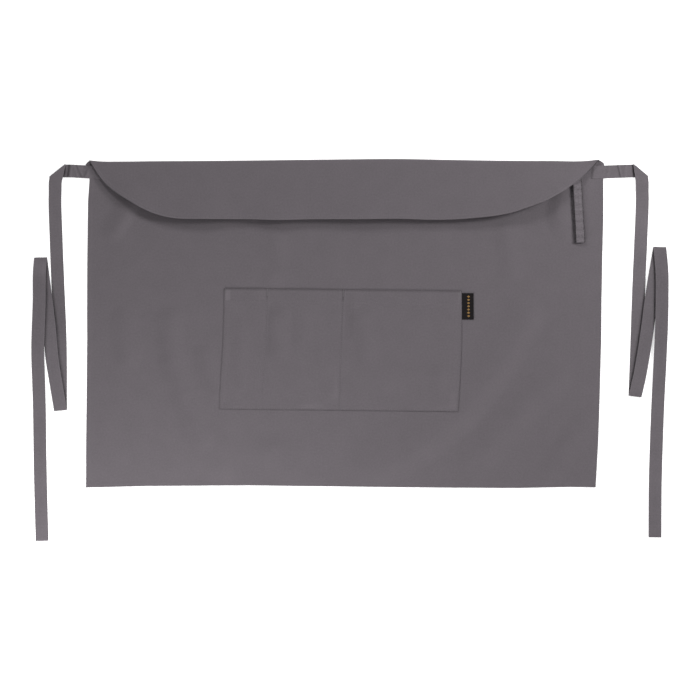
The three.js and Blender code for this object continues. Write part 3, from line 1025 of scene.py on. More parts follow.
    def surface(self) -> Sheet:
        """Lay out the panel, the roll and the flap as one sheet.

        Returns:
            The sheet: columns from left to right, rows from the bottom edge round to the flap's edge.
        """
        panel = self.panel()
        waist = self.waist(panel)
        flap = self.flap(waist)
        strips = [panel, waist, flap]
        middle = np.concatenate([strip.points for strip in strips], 1)
        middle[..., :2] += self.origin
        along = np.concatenate([strip.along for strip in strips], 1)
        flat = np.stack([np.broadcast_to(self.across * self.width, along.shape), along], -1)
        front = np.full_like(along, self.wall / 2)
        back = front.copy()
        front[:, : self.panel_rows] += self.hem.raised(panel.inset)
        back[:, self.panel_rows + self.roll_steps :] += self.hem.raised(flap.inset)
        return Sheet(middle, flat, front, back, np.concatenate([strip.wear for strip in strips], 1))

    def stitches(self, sheet: Sheet) -> Stitches:
        """Sew the hems: both sides, the bottom and the flap's edge.

        Args:
            sheet: the skirt as it is laid out.

        Returns:
            The rows of stitches.
        """
        rows = Stitches()
        front = sheet.front_face()
        back = sheet.back_face()
        normals = sheet.normals()
        column_at, row_at, last = self.stitch_column, self.stitch_row, self.panel_rows
        for at in (column_at, -1 - column_at):
            rows.row(front[at, row_at:last], normals[at, row_at:last])
        rows.row(front[column_at : -column_at, row_at], normals[column_at : -column_at, row_at])
        rows.row(back[:, self.flap_stitch_row], -normals[:, self.flap_stitch_row])
        return rows


@dataclass
class Pocket:
    """A patch pocket in three compartments, sewn on the skirt and open at its mouth.

    Places are taken from its left side and down from its mouth, in metres.
    """

    skirt: Skirt
    pen: float = 84 * MM
    middle: float = 149 * MM
    wide: float = 231 * MM
    depth: float = 234 * MM
    from_fold: float = 252 * MM
    shift: float = -8 * MM
    tilt: float = math.radians(0.62)
    lean: float = math.radians(0.95)
    wall: float = 0.7 * MM
    clearance: float = 0.15 * MM
    gape: float = 0.3 * MM
    mouth_hem: float = 25 * MM
    mouth_layer: float = 0.25 * MM
    mouth_line: float = 1.2 * MM
    mouth_groove: float = 0.15 * MM
    mouth_painted_shadow: float = -2.4
    pinch: float = 0.25 * MM
    tack_width: float = 2.2 * MM
    tack_share: float = 0.55
    divider_painted_shades: tuple[float, float] = (0.5, 1.1)
    hem: Hem = Hem(
        width=9 * MM,
        height=0.2 * MM,
        stitch_inset=2.2 * MM,
        groove=0.12 * MM,
        # A painted shadow line along the pocket's sewn edges
        edge_wear_and_shading=-1.3,
        seam_wear=0.1,
    )
    width: float = field(init=False)
    seams: list[float] = field(init=False)
    seam_columns: list[int] = field(init=False)
    side_column: int = field(init=False)
    base_row: int = field(init=False)
    mouth_row: int = field(init=False)

    # How far the sides and dividers stray to the right, in millimetres, at shares of the depth
    OUTLINE = named_rows(
        "down left pen middle right",
        (0.0, 4.0, 3.4, 2.4, 1.2), (0.2, 4.4, 3.0, 1.8, 2.6), (0.43, 4.4, 2.3, 1.2, 3.8),
        (0.64, 2.6, 0.8, 0.6, 3.4), (0.85, 1.2, -0.8, 0.2, 1.8), (1.0, 0.6, -1.4, 0.0, 0.4),
    )
    # Soft folds: ends as shares of the width and depth, flanks and height in millimetres
    FOLDS = named_rows(
        "across down to_across to_down left right height",
        (0.225, 0.254, 0.240, 0.524, 45, 30, 1.8), (0.240, 0.524, 0.314, 0.773, 45, 30, 1.8),
        (0.314, 0.773, 0.370, 0.939, 45, 30, 1.5), (0.330, 0.25, 0.339, 0.441, 28, 40, 1.1),
        (0.339, 0.441, 0.438, 0.669, 28, 40, 1.6), (0.438, 0.669, 0.473, 0.835, 28, 30, 1.5),
        (0.582, 0.254, 0.615, 0.545, 34, 26, 1.4), (0.615, 0.545, 0.690, 0.760, 34, 30, 1.1),
        (0.915, 0.710, 0.935, 0.918, 34, 28, 1.2), (0.075, 0.3, 0.085, 0.8, 20, 22, 0.5),
    )
    # Patches by the seams: across as a share of the width, then start, end, top and bottom in millimetres,
    # and the tint: paler above 0 where stitches lie close, darker below 0 as painted shade by the dividers
    TACKS = named_rows(
        "across start end top bottom wear",
        (0.0, 2.5, 10.5, 2.0, 23.0, 1.2), (0.181, -17.0, -3.0, 3.0, 21.0, 0.35),
        (0.181, -2.5, 2.5, 2.0, 21.0, -0.9), (0.502, -1.5, 2.0, 0.0, 22.0, -1.5),
        (0.502, 4.0, 22.0, 6.0, 96.0, -0.35), (1.0, -6.0, -2.0, 2.0, 22.0, 0.6),
        (1.0, -17.0, -4.0, 196.0, 230.0, 0.35),
    )

    def __post_init__(self) -> None:
        """Work out the width and where the seams are."""
        self.width = self.pen + self.middle + self.wide
        self.seams = [0.0, self.pen, self.pen + self.middle, self.width]

    def plan(self, from_left: Array, from_mouth: Array) -> tuple[Array, Array]:
        """Place the pocket in plan.

        Args:
            from_left: how far across from its left side.
            from_mouth: how far down from its mouth.

        Returns:
            Where that is, from the middle of the skirt's fold.
        """
        down = np.asarray(from_mouth / self.depth)
        strays = [flow(self.OUTLINE, "down", key, down) * MM for key in ("left", "pen", "middle", "right")]
        stray = strays[0]
        for start, end, first, second in zip(self.seams, self.seams[1:], strays, strays[1:]):
            part = np.clip((from_left - start) / (end - start), 0.0, 1.0)
            stray = stray + (second - first) * part
        x = from_left - self.width / 2 - from_mouth * math.tan(self.lean) + stray
        y = -from_mouth
        cosine, sine = math.cos(-self.tilt), math.sin(-self.tilt)
        return x * cosine - y * sine + self.shift, x * sine + y * cosine - self.from_fold

    def bulge(self, from_left: Array, from_mouth: Array) -> Array:
        """Open the compartments.

        Args:
            from_left: how far across from its left side.
            from_mouth: how far down from its mouth.

        Returns:
            How far the cloth stands off the skirt there.
        """
        down = from_mouth / self.depth
        crown = np.zeros(np.broadcast(from_left, from_mouth).shape)
        for start, end in zip(self.seams, self.seams[1:]):
            part = np.clip((from_left - start) / (end - start), 0.0, 1.0)
            inside = (from_left >= start) & (from_left <= end)
            crown = crown + (1.0 - np.abs(2.0 * part - 1.0) ** 2.6) * inside
        return self.gape * np.clip(crown, 0.0, 1.0) * (1.0 - np.clip(down, 0.0, 1.0) ** 1.5)

    def folds(self, from_left: Array, from_mouth: Array) -> Array:
        """Shape the pocket's own soft folds, which its seams hold down.

        Args:
            from_left: how far across from its left side.
            from_mouth: how far down from its mouth.

        Returns:
            How far they lift the cloth there.
        """
        total = ridges(self.FOLDS, (self.width, self.depth), from_left, from_mouth)
        pinned = np.ones_like(total)
        for seam in self.seams:
            pinned = pinned * ease(np.abs(from_left - seam), 0.0, 10 * MM)
        return total * pinned * ease(self.depth - from_mouth, 0.0, 12 * MM)

    def tacked(self, from_left: Array, from_mouth: Array) -> Array:
        """Tint the patches by the seams: paler where stitches lie close, and painted shade by the dividers.

        Args:
            from_left: how far across from its left side.
            from_mouth: how far down from its mouth.

        Returns:
            Their tint there: paler above 0, darker below it.
        """
        total = 0.0 * (from_left + from_mouth)
        for tack in self.TACKS:
            aside = from_left / MM - tack["across"] * self.width / MM
            down = from_mouth / MM
            inside = ease(aside, tack["start"] - 0.6, tack["start"] + 0.6)
            inside = inside * (1.0 - ease(aside, tack["end"] - 0.6, tack["end"] + 0.6))
            inside = inside * ease(down, tack["top"] - 0.8, tack["top"] + 0.8)
            inside = inside * (1.0 - ease(down, tack["bottom"] - 0.8, tack["bottom"] + 0.8))
            total = total + tack["wear"] * inside
        return total

    def inset(self, from_left: Array, from_mouth: Array) -> Array:
        """Return how far in a place is from the nearest sewn edge."""
        return np.minimum(np.minimum(from_left, self.width - from_left), self.depth - from_mouth)

    def layers(self, from_left: Array, from_mouth: Array) -> Array:
        """Raise the hems, and pull the cloth in where stitches hold it.

        Args:
            from_left: how far across from its left side.
            from_mouth: how far down from its mouth.

        Returns:
            How far the front stands up there past the single cloth's.
        """
        folded = self.mouth_layer * (1.0 - ease(from_mouth, self.mouth_hem, self.mouth_hem + MM))
        line = self.mouth_hem - self.mouth_line
        folded = folded - self.mouth_groove * bell(from_mouth, line, 0.7 * MM)
        pinched = sum(bell(from_left, seam, 0.9 * MM) for seam in self.seams[1:-1])
        raised = self.hem.raised(self.inset(from_left, from_mouth))
        return np.maximum(raised, folded) - self.pinch * pinched

    def worn_and_shaded(self, from_left: Array, from_mouth: Array) -> Array:
        """Tint the pocket: a painted shadow line round its edges and in its mouth, painted shade and
        highlight at its dividers, painted light and shade on its folds, and its patches by the seams.

        Args:
            from_left: how far across from its left side.
            from_mouth: how far down from its mouth.

        Returns:
            The tint there: paler above 0, darker below it.
        """
        wear = self.hem.worn_and_shaded(self.inset(from_left, from_mouth))
        # A painted shadow line in the pocket's mouth
        wear = wear + self.mouth_painted_shadow * bell(from_mouth, 0.0, self.mouth_line)
        wear = wear + 0.1 * bell(from_mouth, self.mouth_hem, MM)
        upper = 1.0 - ease(from_mouth, 0.35 * self.depth, 0.55 * self.depth)
        # Painted shade along each divider's pinched seam, and a painted highlight just to its right, stronger
        # near the mouth
        for seam, depth in zip(self.seams[1:-1], self.divider_painted_shades):
            wear = wear - depth * (0.4 + 0.6 * upper) * bell(from_left, seam, 1.5 * MM)
            wear = wear + 0.35 * upper * bell(from_left, seam + 3.2 * MM, 1.6 * MM)
        # Painted light and shade on the pocket's folds, as on the skirt's
        onward = self.folds(from_left + SHADING_ASIDE * MM, from_mouth + SHADING_DOWN * MM)
        wear = wear + self.skirt.fold_shading_gain * (self.folds(from_left, from_mouth) - onward) / MM
        return wear + self.tacked(from_left, from_mouth)

    def height(self, from_left: Array, from_mouth: Array) -> Array:
        """Find the height of the pocket's middle surface.

        Args:
            from_left: how far across from its left side.
            from_mouth: how far down from its mouth.

        Returns:
            The height there.
        """
        x, y = self.plan(from_left, from_mouth)
        seated = self.skirt.top_at(x, y) + self.clearance + self.wall / 2
        ripple = self.skirt.pucker(from_left + from_mouth, self.inset(from_left, from_mouth))
        return seated + self.bulge(from_left, from_mouth) + self.folds(from_left, from_mouth) + ripple

    def surface(self) -> Sheet:
        """Lay out the pocket.

        Returns:
            The sheet: columns from left to right, rows from the bottom up to the mouth.
        """
        near = [step * MM for step in (-3, -1.2, -0.5, 0, 0.5, 1.2, 3)]
        dividers = [seam + step for seam in self.seams[1:-1] for step in near]
        columns = refine(self.hem.both_sides(self.width) + dividers, 3 * MM)
        fall = [0.0, 0.8 * MM] + [self.mouth_hem + step for step in near]
        downs = refine(fall + [self.depth - inset for inset in self.hem.stops()], 4 * MM)[::-1]
        from_left = columns[:, None]
        from_mouth = downs[None, :]
        x, y = self.plan(from_left, from_mouth)
        z = self.height(from_left, from_mouth)
        middle = np.stack([x + self.skirt.origin[0], y + self.skirt.origin[1], z], -1)
        half = np.full(x.shape, self.wall / 2)
        front = half + self.layers(from_left, from_mouth)
        wear = self.worn_and_shaded(from_left, from_mouth) + 0.0 * x
        flat = np.stack(np.broadcast_arrays(from_left, self.depth - from_mouth), -1)
        self.seam_columns = [nearest(columns, seam) for seam in self.seams[1:-1]]
        self.side_column = nearest(columns, self.hem.stitch_inset)
        self.base_row = nearest(self.depth - downs, self.hem.stitch_inset)
        self.mouth_row = nearest(downs, self.mouth_hem - self.mouth_line)
        return Sheet(middle, flat, front, half, wear)

    def stitches(self, sheet: Sheet) -> Stitches:
        """Sew the sides, the base, the mouth hem and the dividers, and tack their ends.

        Args:
            sheet: the pocket as it is laid out.

        Returns:
            The rows of stitches.
        """
        rows = Stitches()
        front = sheet.front_face()
        normals = sheet.normals()
        side, base, mouth = self.side_column, self.base_row, self.mouth_row
        for at in [side, -1 - side, *self.seam_columns]:
            rows.row(front[at, base:], normals[at, base:])
        rows.row(front[side:-side, base], normals[side:-side, base])
        rows.row(front[side:-side, mouth], normals[side:-side, mouth])
        top = front.shape[1] - 1
        for at in [side, -1 - side, *self.seam_columns]:
            start = front[at, top]
            end = start + (front[at, mouth] - start) * self.tack_share
            rows.bar(start, end, UPRIGHT, self.tack_width)
        return rows


@dataclass
class Tie:
    """A flat woven tie: sewn on under the flap's end, out across the skirt's side, and laid in a zigzag.

    exit_x is where it crosses the skirt's side, from the skirt's middle.
    """

    skirt: Skirt
    side: Side
    exit_x: float
    reach: float
    drop: float
    route: Table
    wrinkles: Table
    width: float = 24.1 * MM
    wall: float = 1.1 * MM
    layer: float = 2.6 * MM
    # Painted shadow on a run close beside the run that lies over it
    contact_shadow: float = -4.0
    contact_from: float = 1.4 * MM
    contact_spread: float = 2.9 * MM
    clear_widths: float = 1.8
    tack_width: float = 2.0 * MM
    sewn: float = 40 * MM
    from_fold: float = 22.9 * MM
    edge_clear: float = 2.5 * MM
    skirt_clearance: float = 1.2 * MM
    step: float = 4 * MM
    crease_step: float = 1.2 * MM
    fold_turn: float = math.radians(60)
    bend_steps: int = 6
    hem: Hem = Hem(width=5 * MM, height=0.0, stitch_inset=2.0 * MM, groove=0.2 * MM)
    runs: list[Array] = field(init=False)
    length: float = field(init=False)
    stitch_column: int = field(init=False)

    def __post_init__(self) -> None:
        """Work out the runs."""
        self.runs = self.split()

    def corners(self) -> Array:
        """Place the corners of the tie's middle line.

        Returns:
            The points, from its sewn end.
        """
        sign = self.side.value
        sewn = [(self.exit_x + sign * past, -self.from_fold) for past in (-self.sewn, self.edge_clear)]
        reach = sign * self.reach
        laid = [(self.exit_x + row["out"] * reach, -row["down"] * self.drop) for row in self.route]
        return np.array(sewn + laid)

    def split(self) -> list[Array]:
        """Split the middle line at its folds, and smooth each run.

        Returns:
            The runs, each in short even steps.
        """
        corners = self.corners()
        legs = normalised(np.diff(corners, axis=0))
        turns = np.arccos(np.clip((legs[1:] * legs[:-1]).sum(1), -1.0, 1.0))
        folds = [index + 1 for index, turn in enumerate(turns) if turn > self.fold_turn]
        ends = [0, *folds, len(corners) - 1]
        return [self.smooth(corners[start : end + 1], start == 0) for start, end in zip(ends, ends[1:])]

    def smooth(self, points: Array, fine: bool) -> Array:
        """Draw an even curve through points.

        Args:
            points: the points of one run.
            fine: whether the run has sharp creases, which need short steps.

        Returns:
            Points along the curve, a step apart.
        """
        runs = distances(points)
        step = self.crease_step if fine else self.step
        return curve(runs, points, np.linspace(0.0, runs[-1], max(3, math.ceil(runs[-1] / step) + 1)))

    def height(self, run_index: int, here: Array) -> float:
        """Return the height of the tie's middle at a place of a run.

        Args:
            run_index: which run it is, from the skirt out.
            here: the place.

        Returns:
            The height: one layer higher than the run that it is folded over, until it is clear of it.
        """
        floor = self.wall / 2
        if run_index == 0:
            past = self.side.value * (here[0] - self.exit_x) - self.edge_clear
            on_skirt = self.skirt_clearance + self.wall / 2
            return on_skirt + (floor - on_skirt) * float(ease(past, 0.0, self.width / 2))
        away = float(np.linalg.norm(self.runs[run_index - 1] - here, axis=1).min())
        lowered = float(ease(away, self.width, self.width * self.clear_widths))
        if run_index == 1:
            return floor + self.layer * (1.0 - lowered)
        if run_index < len(self.runs) - 1:
            return floor + self.layer * (run_index - 1)
        return floor + self.layer * (run_index - 1) * (1.0 - lowered)

    def rulings(self) -> tuple[Array, Array, Array]:
        """Lay the tie's two edges along its runs, round a small bend at each fold.

        Returns:
            The two edges, and which run each place is on.
        """
        bend = self.layer / 2
        edges: list[tuple[float, ...]] = []
        turned = 1.0
        taken = 0.0
        for run_index, run in enumerate(self.runs):
            reached = distances(run)
            folds_on = run_index + 1 < len(self.runs)
            # Where the run folds over, both edges meet the crease's slanting line
            if folds_on:
                arriving = normalised(run[-1] - run[-2])
                leaving = normalised(self.runs[run_index + 1][1] - run[-1])
                crease = normalised(arriving + leaving)
                slant = abs(crease[0] * arriving[1] - crease[1] * arriving[0])
                facing = float(crease @ (QUARTER_TURN @ arriving)) * turned
                reach = crease * math.copysign(self.width / 2 / slant, facing)
                given = self.width / 2 * math.sqrt(1.0 - slant**2) / slant + MM
            for index, here in enumerate(run):
                near_start = run_index > 0 and reached[index] < taken
                near_end = folds_on and reached[-1] - reached[index] < given
                if near_start or near_end:
                    continue
                ahead = normalised(run[min(index + 1, len(run) - 1)] - run[max(index - 1, 0)])
                across = QUARTER_TURN @ ahead * turned * self.width / 2
                edges.append((*(here + across), *(here - across), self.height(run_index, here), run_index))
            if not folds_on:
                break
            # A half turn round the crease, up on to the next layer
            z = self.height(run_index, run[-1])
            outward = QUARTER_TURN @ normalised(reach)
            outward = outward * math.copysign(1.0, float(outward @ arriving))
            for step in range(self.bend_steps + 1):
                turn = math.pi * step / self.bend_steps
                middle = run[-1] + outward * bend * math.sin(turn)
                up = z + bend * (1.0 - math.cos(turn))
                edges.append((*(middle + reach), *(middle - reach), up, run_index + step / self.bend_steps))
            turned = -turned
            taken = given
        # Shorter steps between the rulings, shortest where the tie has sharp creases
        keys = np.array(edges)
        spans = np.linalg.norm(np.diff(keys[:, :4], axis=0), axis=1) / math.sqrt(2)
        creased = np.cumsum(spans) < self.sewn + np.linalg.norm(self.runs[0][-1] - self.runs[0][0])
        steps = np.where(creased, self.crease_step, 1.5 * self.step)
        counts = np.maximum(1, np.ceil(spans / steps).astype(int))
        places = np.concatenate([[0.0], *[i + np.arange(1, n + 1) / n for i, n in enumerate(counts)]])
        fine = read_along(np.arange(len(keys)), keys, places)
        return fine[:, [0, 1, 4]], fine[:, [2, 3, 4]], fine[:, 5]

    def shaded_by_layers(self, middle: Array, run_of: Array) -> Array:
        """Paint shadow on the tie close beside the run that lies over it.

        Args:
            middle: its middle surface.
            run_of: which run each of its rows is on.

        Returns:
            The painted shadow, darker below 0.
        """
        shade = np.zeros(middle.shape[:2])
        for upper, run in enumerate(self.runs[1:], 1):
            under = np.flatnonzero(np.rint(run_of) == upper - 1)
            away = np.linalg.norm(middle[:, under, None, :2] - run[None, None], axis=-1).min(-1)
            beside = self.width / 2 + self.contact_from
            shade[:, under] += self.contact_shadow * bell(away, beside, self.contact_spread)
        return shade

    def surface(self) -> Sheet:
        """Lay out the tie.

        Returns:
            The sheet: columns across it, rows from the sewn end.
        """
        first, second, run_of = self.rulings()
        shares = refine(self.hem.both_sides(self.width), 3.2 * MM)[:, None] / self.width
        middle = second[None] + (first - second)[None] * shares[..., None]
        line = (first + second) / 2
        run = distances(line)[None, :]
        rise = np.zeros((len(shares), run.shape[1]))
        shaded = self.shaded_by_layers(middle, run_of)
        for wrinkle in self.wrinkles:
            away = run - self.sewn - wrinkle["at"] * MM - wrinkle["slant"] * (shares - 0.5) * self.width
            spread = wrinkle["spread"] * MM
            rise = rise + wrinkle["height"] * MM * bell(away, 0.0, spread)
            # Painted shade and light beside each crest, and along the stretches without one
            shaded = shaded + wrinkle["shade"] * bell(away, wrinkle["aside"] * MM, 0.8 * spread)
        middle[..., 2] += rise
        middle[..., :2] += self.skirt.origin
        inset = np.minimum(shares, 1.0 - shares) * self.width + 0.0 * run
        half = np.full(inset.shape, self.wall / 2)
        groove = self.hem.raised(inset)
        flat = np.stack(np.broadcast_arrays(shares * self.width, run), -1)
        self.length = float(run[0, -1])
        self.stitch_column = nearest(shares[:, 0] * self.width, self.hem.stitch_inset)
        return Sheet(middle, flat, half + groove, half + groove, self.hem.worn_and_shaded(inset) + shaded)

    def stitches(self, sheet: Sheet) -> Stitches:
        """Sew along both edges, on the face that shows, and tack the tie to the skirt.

        Args:
            sheet: the tie as it is laid out.

        Returns:
            The rows of stitches.
        """
        rows = Stitches(thread=0.5 * MM, length=2.9 * MM)
        normals = sheet.normals()
        faces = np.where(normals[..., 2:] >= 0.0, sheet.front_face(), sheet.back_face())
        upward = np.where(normals[..., 2:] >= 0.0, normals, -normals)
        for at in (self.stitch_column, -1 - self.stitch_column):
            level = upward[at, :, 2] > 0.8
            edges = np.flatnonzero(np.diff(level.astype(int)))
            for piece in np.split(np.arange(len(level)), edges + 1):
                if level[piece[0]] and len(piece) > 1:
                    rows.row(faces[at, piece], upward[at, piece])
        across = faces[:, 3]
        rows.bar(across[2], across[-3], UPRIGHT, self.tack_width)
        return rows


@dataclass
class TowelLoop:
    """A narrow strip folded double, sewn on at its top, that lies down over the skirt."""

    skirt: Skirt
    width: float = 16.3 * MM
    length: float = 130 * MM
    from_fold: float = 31 * MM
    from_side: float = 51.4 * MM
    lean: float = math.radians(3.4)
    gape: float = 2.8 * MM
    wall: float = 0.9 * MM
    clearance: float = 0.3 * MM
    sewn: float = 6 * MM
    ramp: float = 9 * MM
    tack: float = 27 * MM
    tilt: float = 1.2 * MM
    back_shift: float = -4.4 * MM
    # Painted shade on the back layer, and a painted shadow line along the front's edge
    back_painted_shade: float = -3.6
    pucker_pitch: float = 15.5 * MM
    pucker: float = 1.3 * MM
    bow: float = 0.35
    # Painted light on the ripples
    ripple_painted_light: float = 0.9
    edge_painted_shade: float = -5.0
    tack_shade: float = -3.0
    tack_width: float = 2.4 * MM
    step: float = 1.6 * MM
    bend_steps: int = 10
    hem: Hem = Hem(width=3.5 * MM, height=0.0, stitch_inset=1.5 * MM, groove=0.15 * MM)
    cut_length: float = field(init=False)
    front_rows: int = field(init=False)
    stitch_column: int = field(init=False)

    def plan(self, aside: Array, from_top: Array) -> tuple[Array, Array]:
        """Place the loop in plan.

        Args:
            aside: how far to the right of its middle.
            from_top: how far down from its top.

        Returns:
            Where that is, from the middle of the skirt's fold.
        """
        cosine, sine = math.cos(self.lean), math.sin(self.lean)
        top = float(self.skirt.side_x(Side.RIGHT, self.from_fold + self.width / 2)) - self.from_side
        return aside * cosine + from_top * sine + top, aside * sine - from_top * cosine - self.from_fold

    def surface(self) -> Sheet:
        """Lay out the loop.

        Returns:
            The sheet: columns across it, rows down its back, round the bight and up its front.
        """
        bight = (self.gape + self.wall) / 2
        back = self.clearance + self.wall / 2
        straight = self.length - bight
        down = np.linspace(0.0, straight, math.ceil(straight / self.step) + 1)
        turn = math.pi * np.arange(1, self.bend_steps) / self.bend_steps
        raised = ease(down[::-1], self.sewn, self.sewn + self.ramp)
        sewn_front = back + self.wall + self.clearance
        ripple = 0.5 + 0.5 * np.sin(math.tau * down[::-1] / self.pucker_pitch)
        front = sewn_front + (back + 2 * bight - sewn_front) * raised + self.pucker * ripple * raised

        # Down the back, round the bight and up the front
        from_top = np.concatenate([down, straight + bight * np.sin(turn), down[::-1]])
        z = np.concatenate([np.full_like(down, back), back + bight * (1 - np.cos(turn)), front])
        on_back = np.concatenate([np.ones_like(down), 0.5 + 0.5 * np.cos(turn), np.zeros_like(down)])
        insets = self.hem.stops()[:-1]
        across = refine(insets + [self.width - inset for inset in insets], 2 * MM)
        bowed = 1.0 + self.bow * np.sin(math.pi * np.clip(from_top / self.length, 0.0, 1.0))
        aside = (self.width / 2 - across)[:, None] + (self.back_shift * bowed * on_back)[None, :]
        x, y = self.plan(aside, from_top[None, :])
        tilted = self.tilt * (across[:, None] / self.width - 0.5) * (1.0 - on_back)[None, :]
        z = z[None, :] + self.skirt.top_at(x, y) + tilted * ease(z, sewn_front, sewn_front + MM)[None, :]
        middle = np.stack([x + self.skirt.origin[0], y + self.skirt.origin[1], z], -1)
        inset = np.minimum(across, self.width - across)[:, None] + 0.0 * x
        half = np.full(x.shape, self.wall / 2)
        run = distances(np.stack([from_top, z.mean(0)], -1))
        flat = np.stack(np.broadcast_arrays(across[:, None], run[None, :]), -1)
        self.cut_length = float(run[-1])
        self.front_rows = len(down) + len(turn)
        self.stitch_column = nearest(across, self.hem.stitch_inset)

        # Its tint: painted light on the ripples, a painted shadow line along one edge, painted shade on the
        # back, and darker at the tack
        groove = self.hem.raised(inset)
        ripples = np.concatenate([ripple[::-1], np.zeros(len(turn)), ripple])
        wear = self.ripple_painted_light * ripples * (1.0 - 0.5 * self.hem.worn_and_shaded(inset))
        wear = wear + self.edge_painted_shade * bell(across, 0.0, 1.5 * MM)[:, None]
        tack_across = bell(across, self.width / 2, 1.6 * MM)[:, None]
        tack = bell(from_top, self.tack, 1.4 * MM)[None, :] * tack_across
        wear = wear + self.tack_shade * tack * (1.0 - on_back)[None, :]
        return Sheet(middle, flat, half + groove, half + groove, wear + self.back_painted_shade * on_back)

    def stitches(self, sheet: Sheet) -> Stitches:
        """Sew along both edges of the front, and tack the loop under the flap's edge.

        Args:
            sheet: the loop as it is laid out.

        Returns:
            The rows of stitches.
        """
        rows = Stitches(thread=0.45 * MM, length=2.6 * MM)
        normals = sheet.normals()
        sign = 1.0 if normals[len(normals) // 2, -1, 2] > 0 else -1.0
        face = sheet.front_face() if sign > 0 else sheet.back_face()
        for at in (self.stitch_column, -1 - self.stitch_column):
            rows.row(face[at, self.front_rows :], normals[at, self.front_rows :] * sign)
        row = len(face[0]) - 1 - round(self.sewn / self.step)
        rows.bar(face[2, row], face[-3, row], UPRIGHT, self.tack_width)
        return rows


@dataclass
class LabelTab:
    """A small black woven tab with a plain gold motif, sewn in at the pocket's right side."""

    pocket: Pocket
    width: float = 23 * MM
    length: float = 51 * MM
    from_mouth: float = 4 * MM
    thickness: float = 0.9 * MM
    clearance: float = 0.2 * MM
    motif_count: int = 7
    motif_size: float = 6.0 * MM
    motif_aside: float = 1.6 * MM
    motif_length: float = 44 * MM
    motif_height: float = 0.16 * MM
    motif_squash: float = 0.75
    cuts: int = 9
    soft_edge: float = 0.3 * MM
    lean: float = math.radians(0.3)

    def centre(self) -> tuple[float, float, float]:
        """Find the middle of the tab's underside.

        Returns:
            Its place, in the frame.
        """
        out = self.pocket.width + self.clearance + self.width / 2
        down = self.from_mouth + self.length / 2
        x, y = self.pocket.plan(out, down)
        top = float(self.pocket.skirt.top_at(np.array(x), np.array(y)))
        origin = self.pocket.skirt.origin
        return float(x + origin[0]), float(y + origin[1]), top + self.clearance

    def turn(self) -> float:
        """Return how far the tab is turned, as the pocket's side is."""
        return self.lean - self.pocket.tilt

    def settle(self, piece: bpy.types.Object) -> None:
        """Turn a piece in edit mode with the pocket's side, and leave edit mode.

        Args:
            piece: the piece.
        """
        bpy.ops.mesh.select_all(action="SELECT")
        bpy.ops.transform.rotate(value=self.turn(), orient_axis="Z", center_override=self.centre())
        bpy.ops.mesh.normals_make_consistent(inside=False)
        bpy.ops.object.mode_set(mode="OBJECT")
        activate(piece)
        bpy.ops.object.shade_smooth_by_angle(angle=SMOOTH_ANGLE)

    def block(self, name: str, size: Sequence[float], centre: Sequence[float]) -> bpy.types.Object:
        """Start a piece from a cube of a size at a place, in edit mode.

        Args:
            name: the piece's name.
            size: its width, length and thickness.
            centre: its middle.

        Returns:
            The new object, at the origin, with its place in its mesh.
        """
        bpy.ops.object.select_all(action="DESELECT")
        bpy.ops.mesh.primitive_cube_add(size=1.0)
        piece = bpy.context.object
        piece.name = piece.data.name = name
        bpy.ops.object.mode_set(mode="EDIT")
        bpy.ops.mesh.select_all(action="SELECT")
        bpy.ops.transform.resize(value=tuple(size), center_override=(0.0, 0.0, 0.0))
        bpy.ops.transform.translate(value=tuple(centre))
        return piece

    def build_tab(self) -> bpy.types.Object:
        """Make the tab: a flat block, as thick as a folded tape, with soft edges.

        Returns:
            The tab.
        """
        x, y, base = self.centre()
        size = (self.width, self.length, self.thickness)
        tab = self.block("label_tape", size, (x, y, base + self.thickness / 2))
        bpy.ops.mesh.subdivide(number_cuts=self.cuts)
        self.settle(tab)
        bevel = tab.modifiers.new("soft_edges", "BEVEL")
        bevel.width = self.soft_edge
        bevel.segments = 3
        bevel.limit_method = "ANGLE"
        bpy.ops.object.modifier_apply(modifier=bevel.name)
        return tab

    def build_motif(self) -> bpy.types.Object:
        """Make the woven motif: a plain row of diamonds.

        Returns:
            The motif, as one piece.
        """
        x, y, base = self.centre()
        z = base + self.thickness + self.motif_height / 2
        parts = []
        pitch = self.motif_length / self.motif_count
        side = self.motif_size / math.sqrt(2)
        for index in range(self.motif_count):
            place = (x + self.motif_aside, y + (index - (self.motif_count - 1) / 2) * pitch, z)
            parts.append(self.block("motif", (side, side, self.motif_height), place))
            bpy.ops.transform.rotate(value=math.pi / 4, orient_axis="Z", center_override=place)
            bpy.ops.transform.resize(value=(1.0, self.motif_squash, 1.0), center_override=place)
            self.settle(parts[-1])
        bpy.ops.object.select_all(action="DESELECT")
        for part in parts:
            part.select_set(True)
        bpy.context.view_layer.objects.active = parts[0]
        bpy.ops.object.join()
        parts[0].name = parts[0].data.name = "label_motif"
        return parts[0]


@dataclass
class Dresser:
    """Puts finishes on pieces and reports them to the frame."""

    finishes: dict[str, bpy.types.Material]

    def dress(
        self, piece: bpy.types.Object, finish: str, node: str | None = None
    ) -> bpy.types.Object:
        """Finish a piece, and say what it rides on and stands for.

        Args:
            piece: the piece.
            finish: the name of its material.
            node: the CAD node that it replaces, if any.

        Returns:
            The same piece.
        """
        piece.data.materials.clear()
        piece.data.materials.append(self.finishes[finish])
        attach(piece, BODY)
        if node:
            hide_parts(node)
        LOG.info("%s: %d faces in %s", piece.name, len(piece.data.polygons), finish)
        return piece


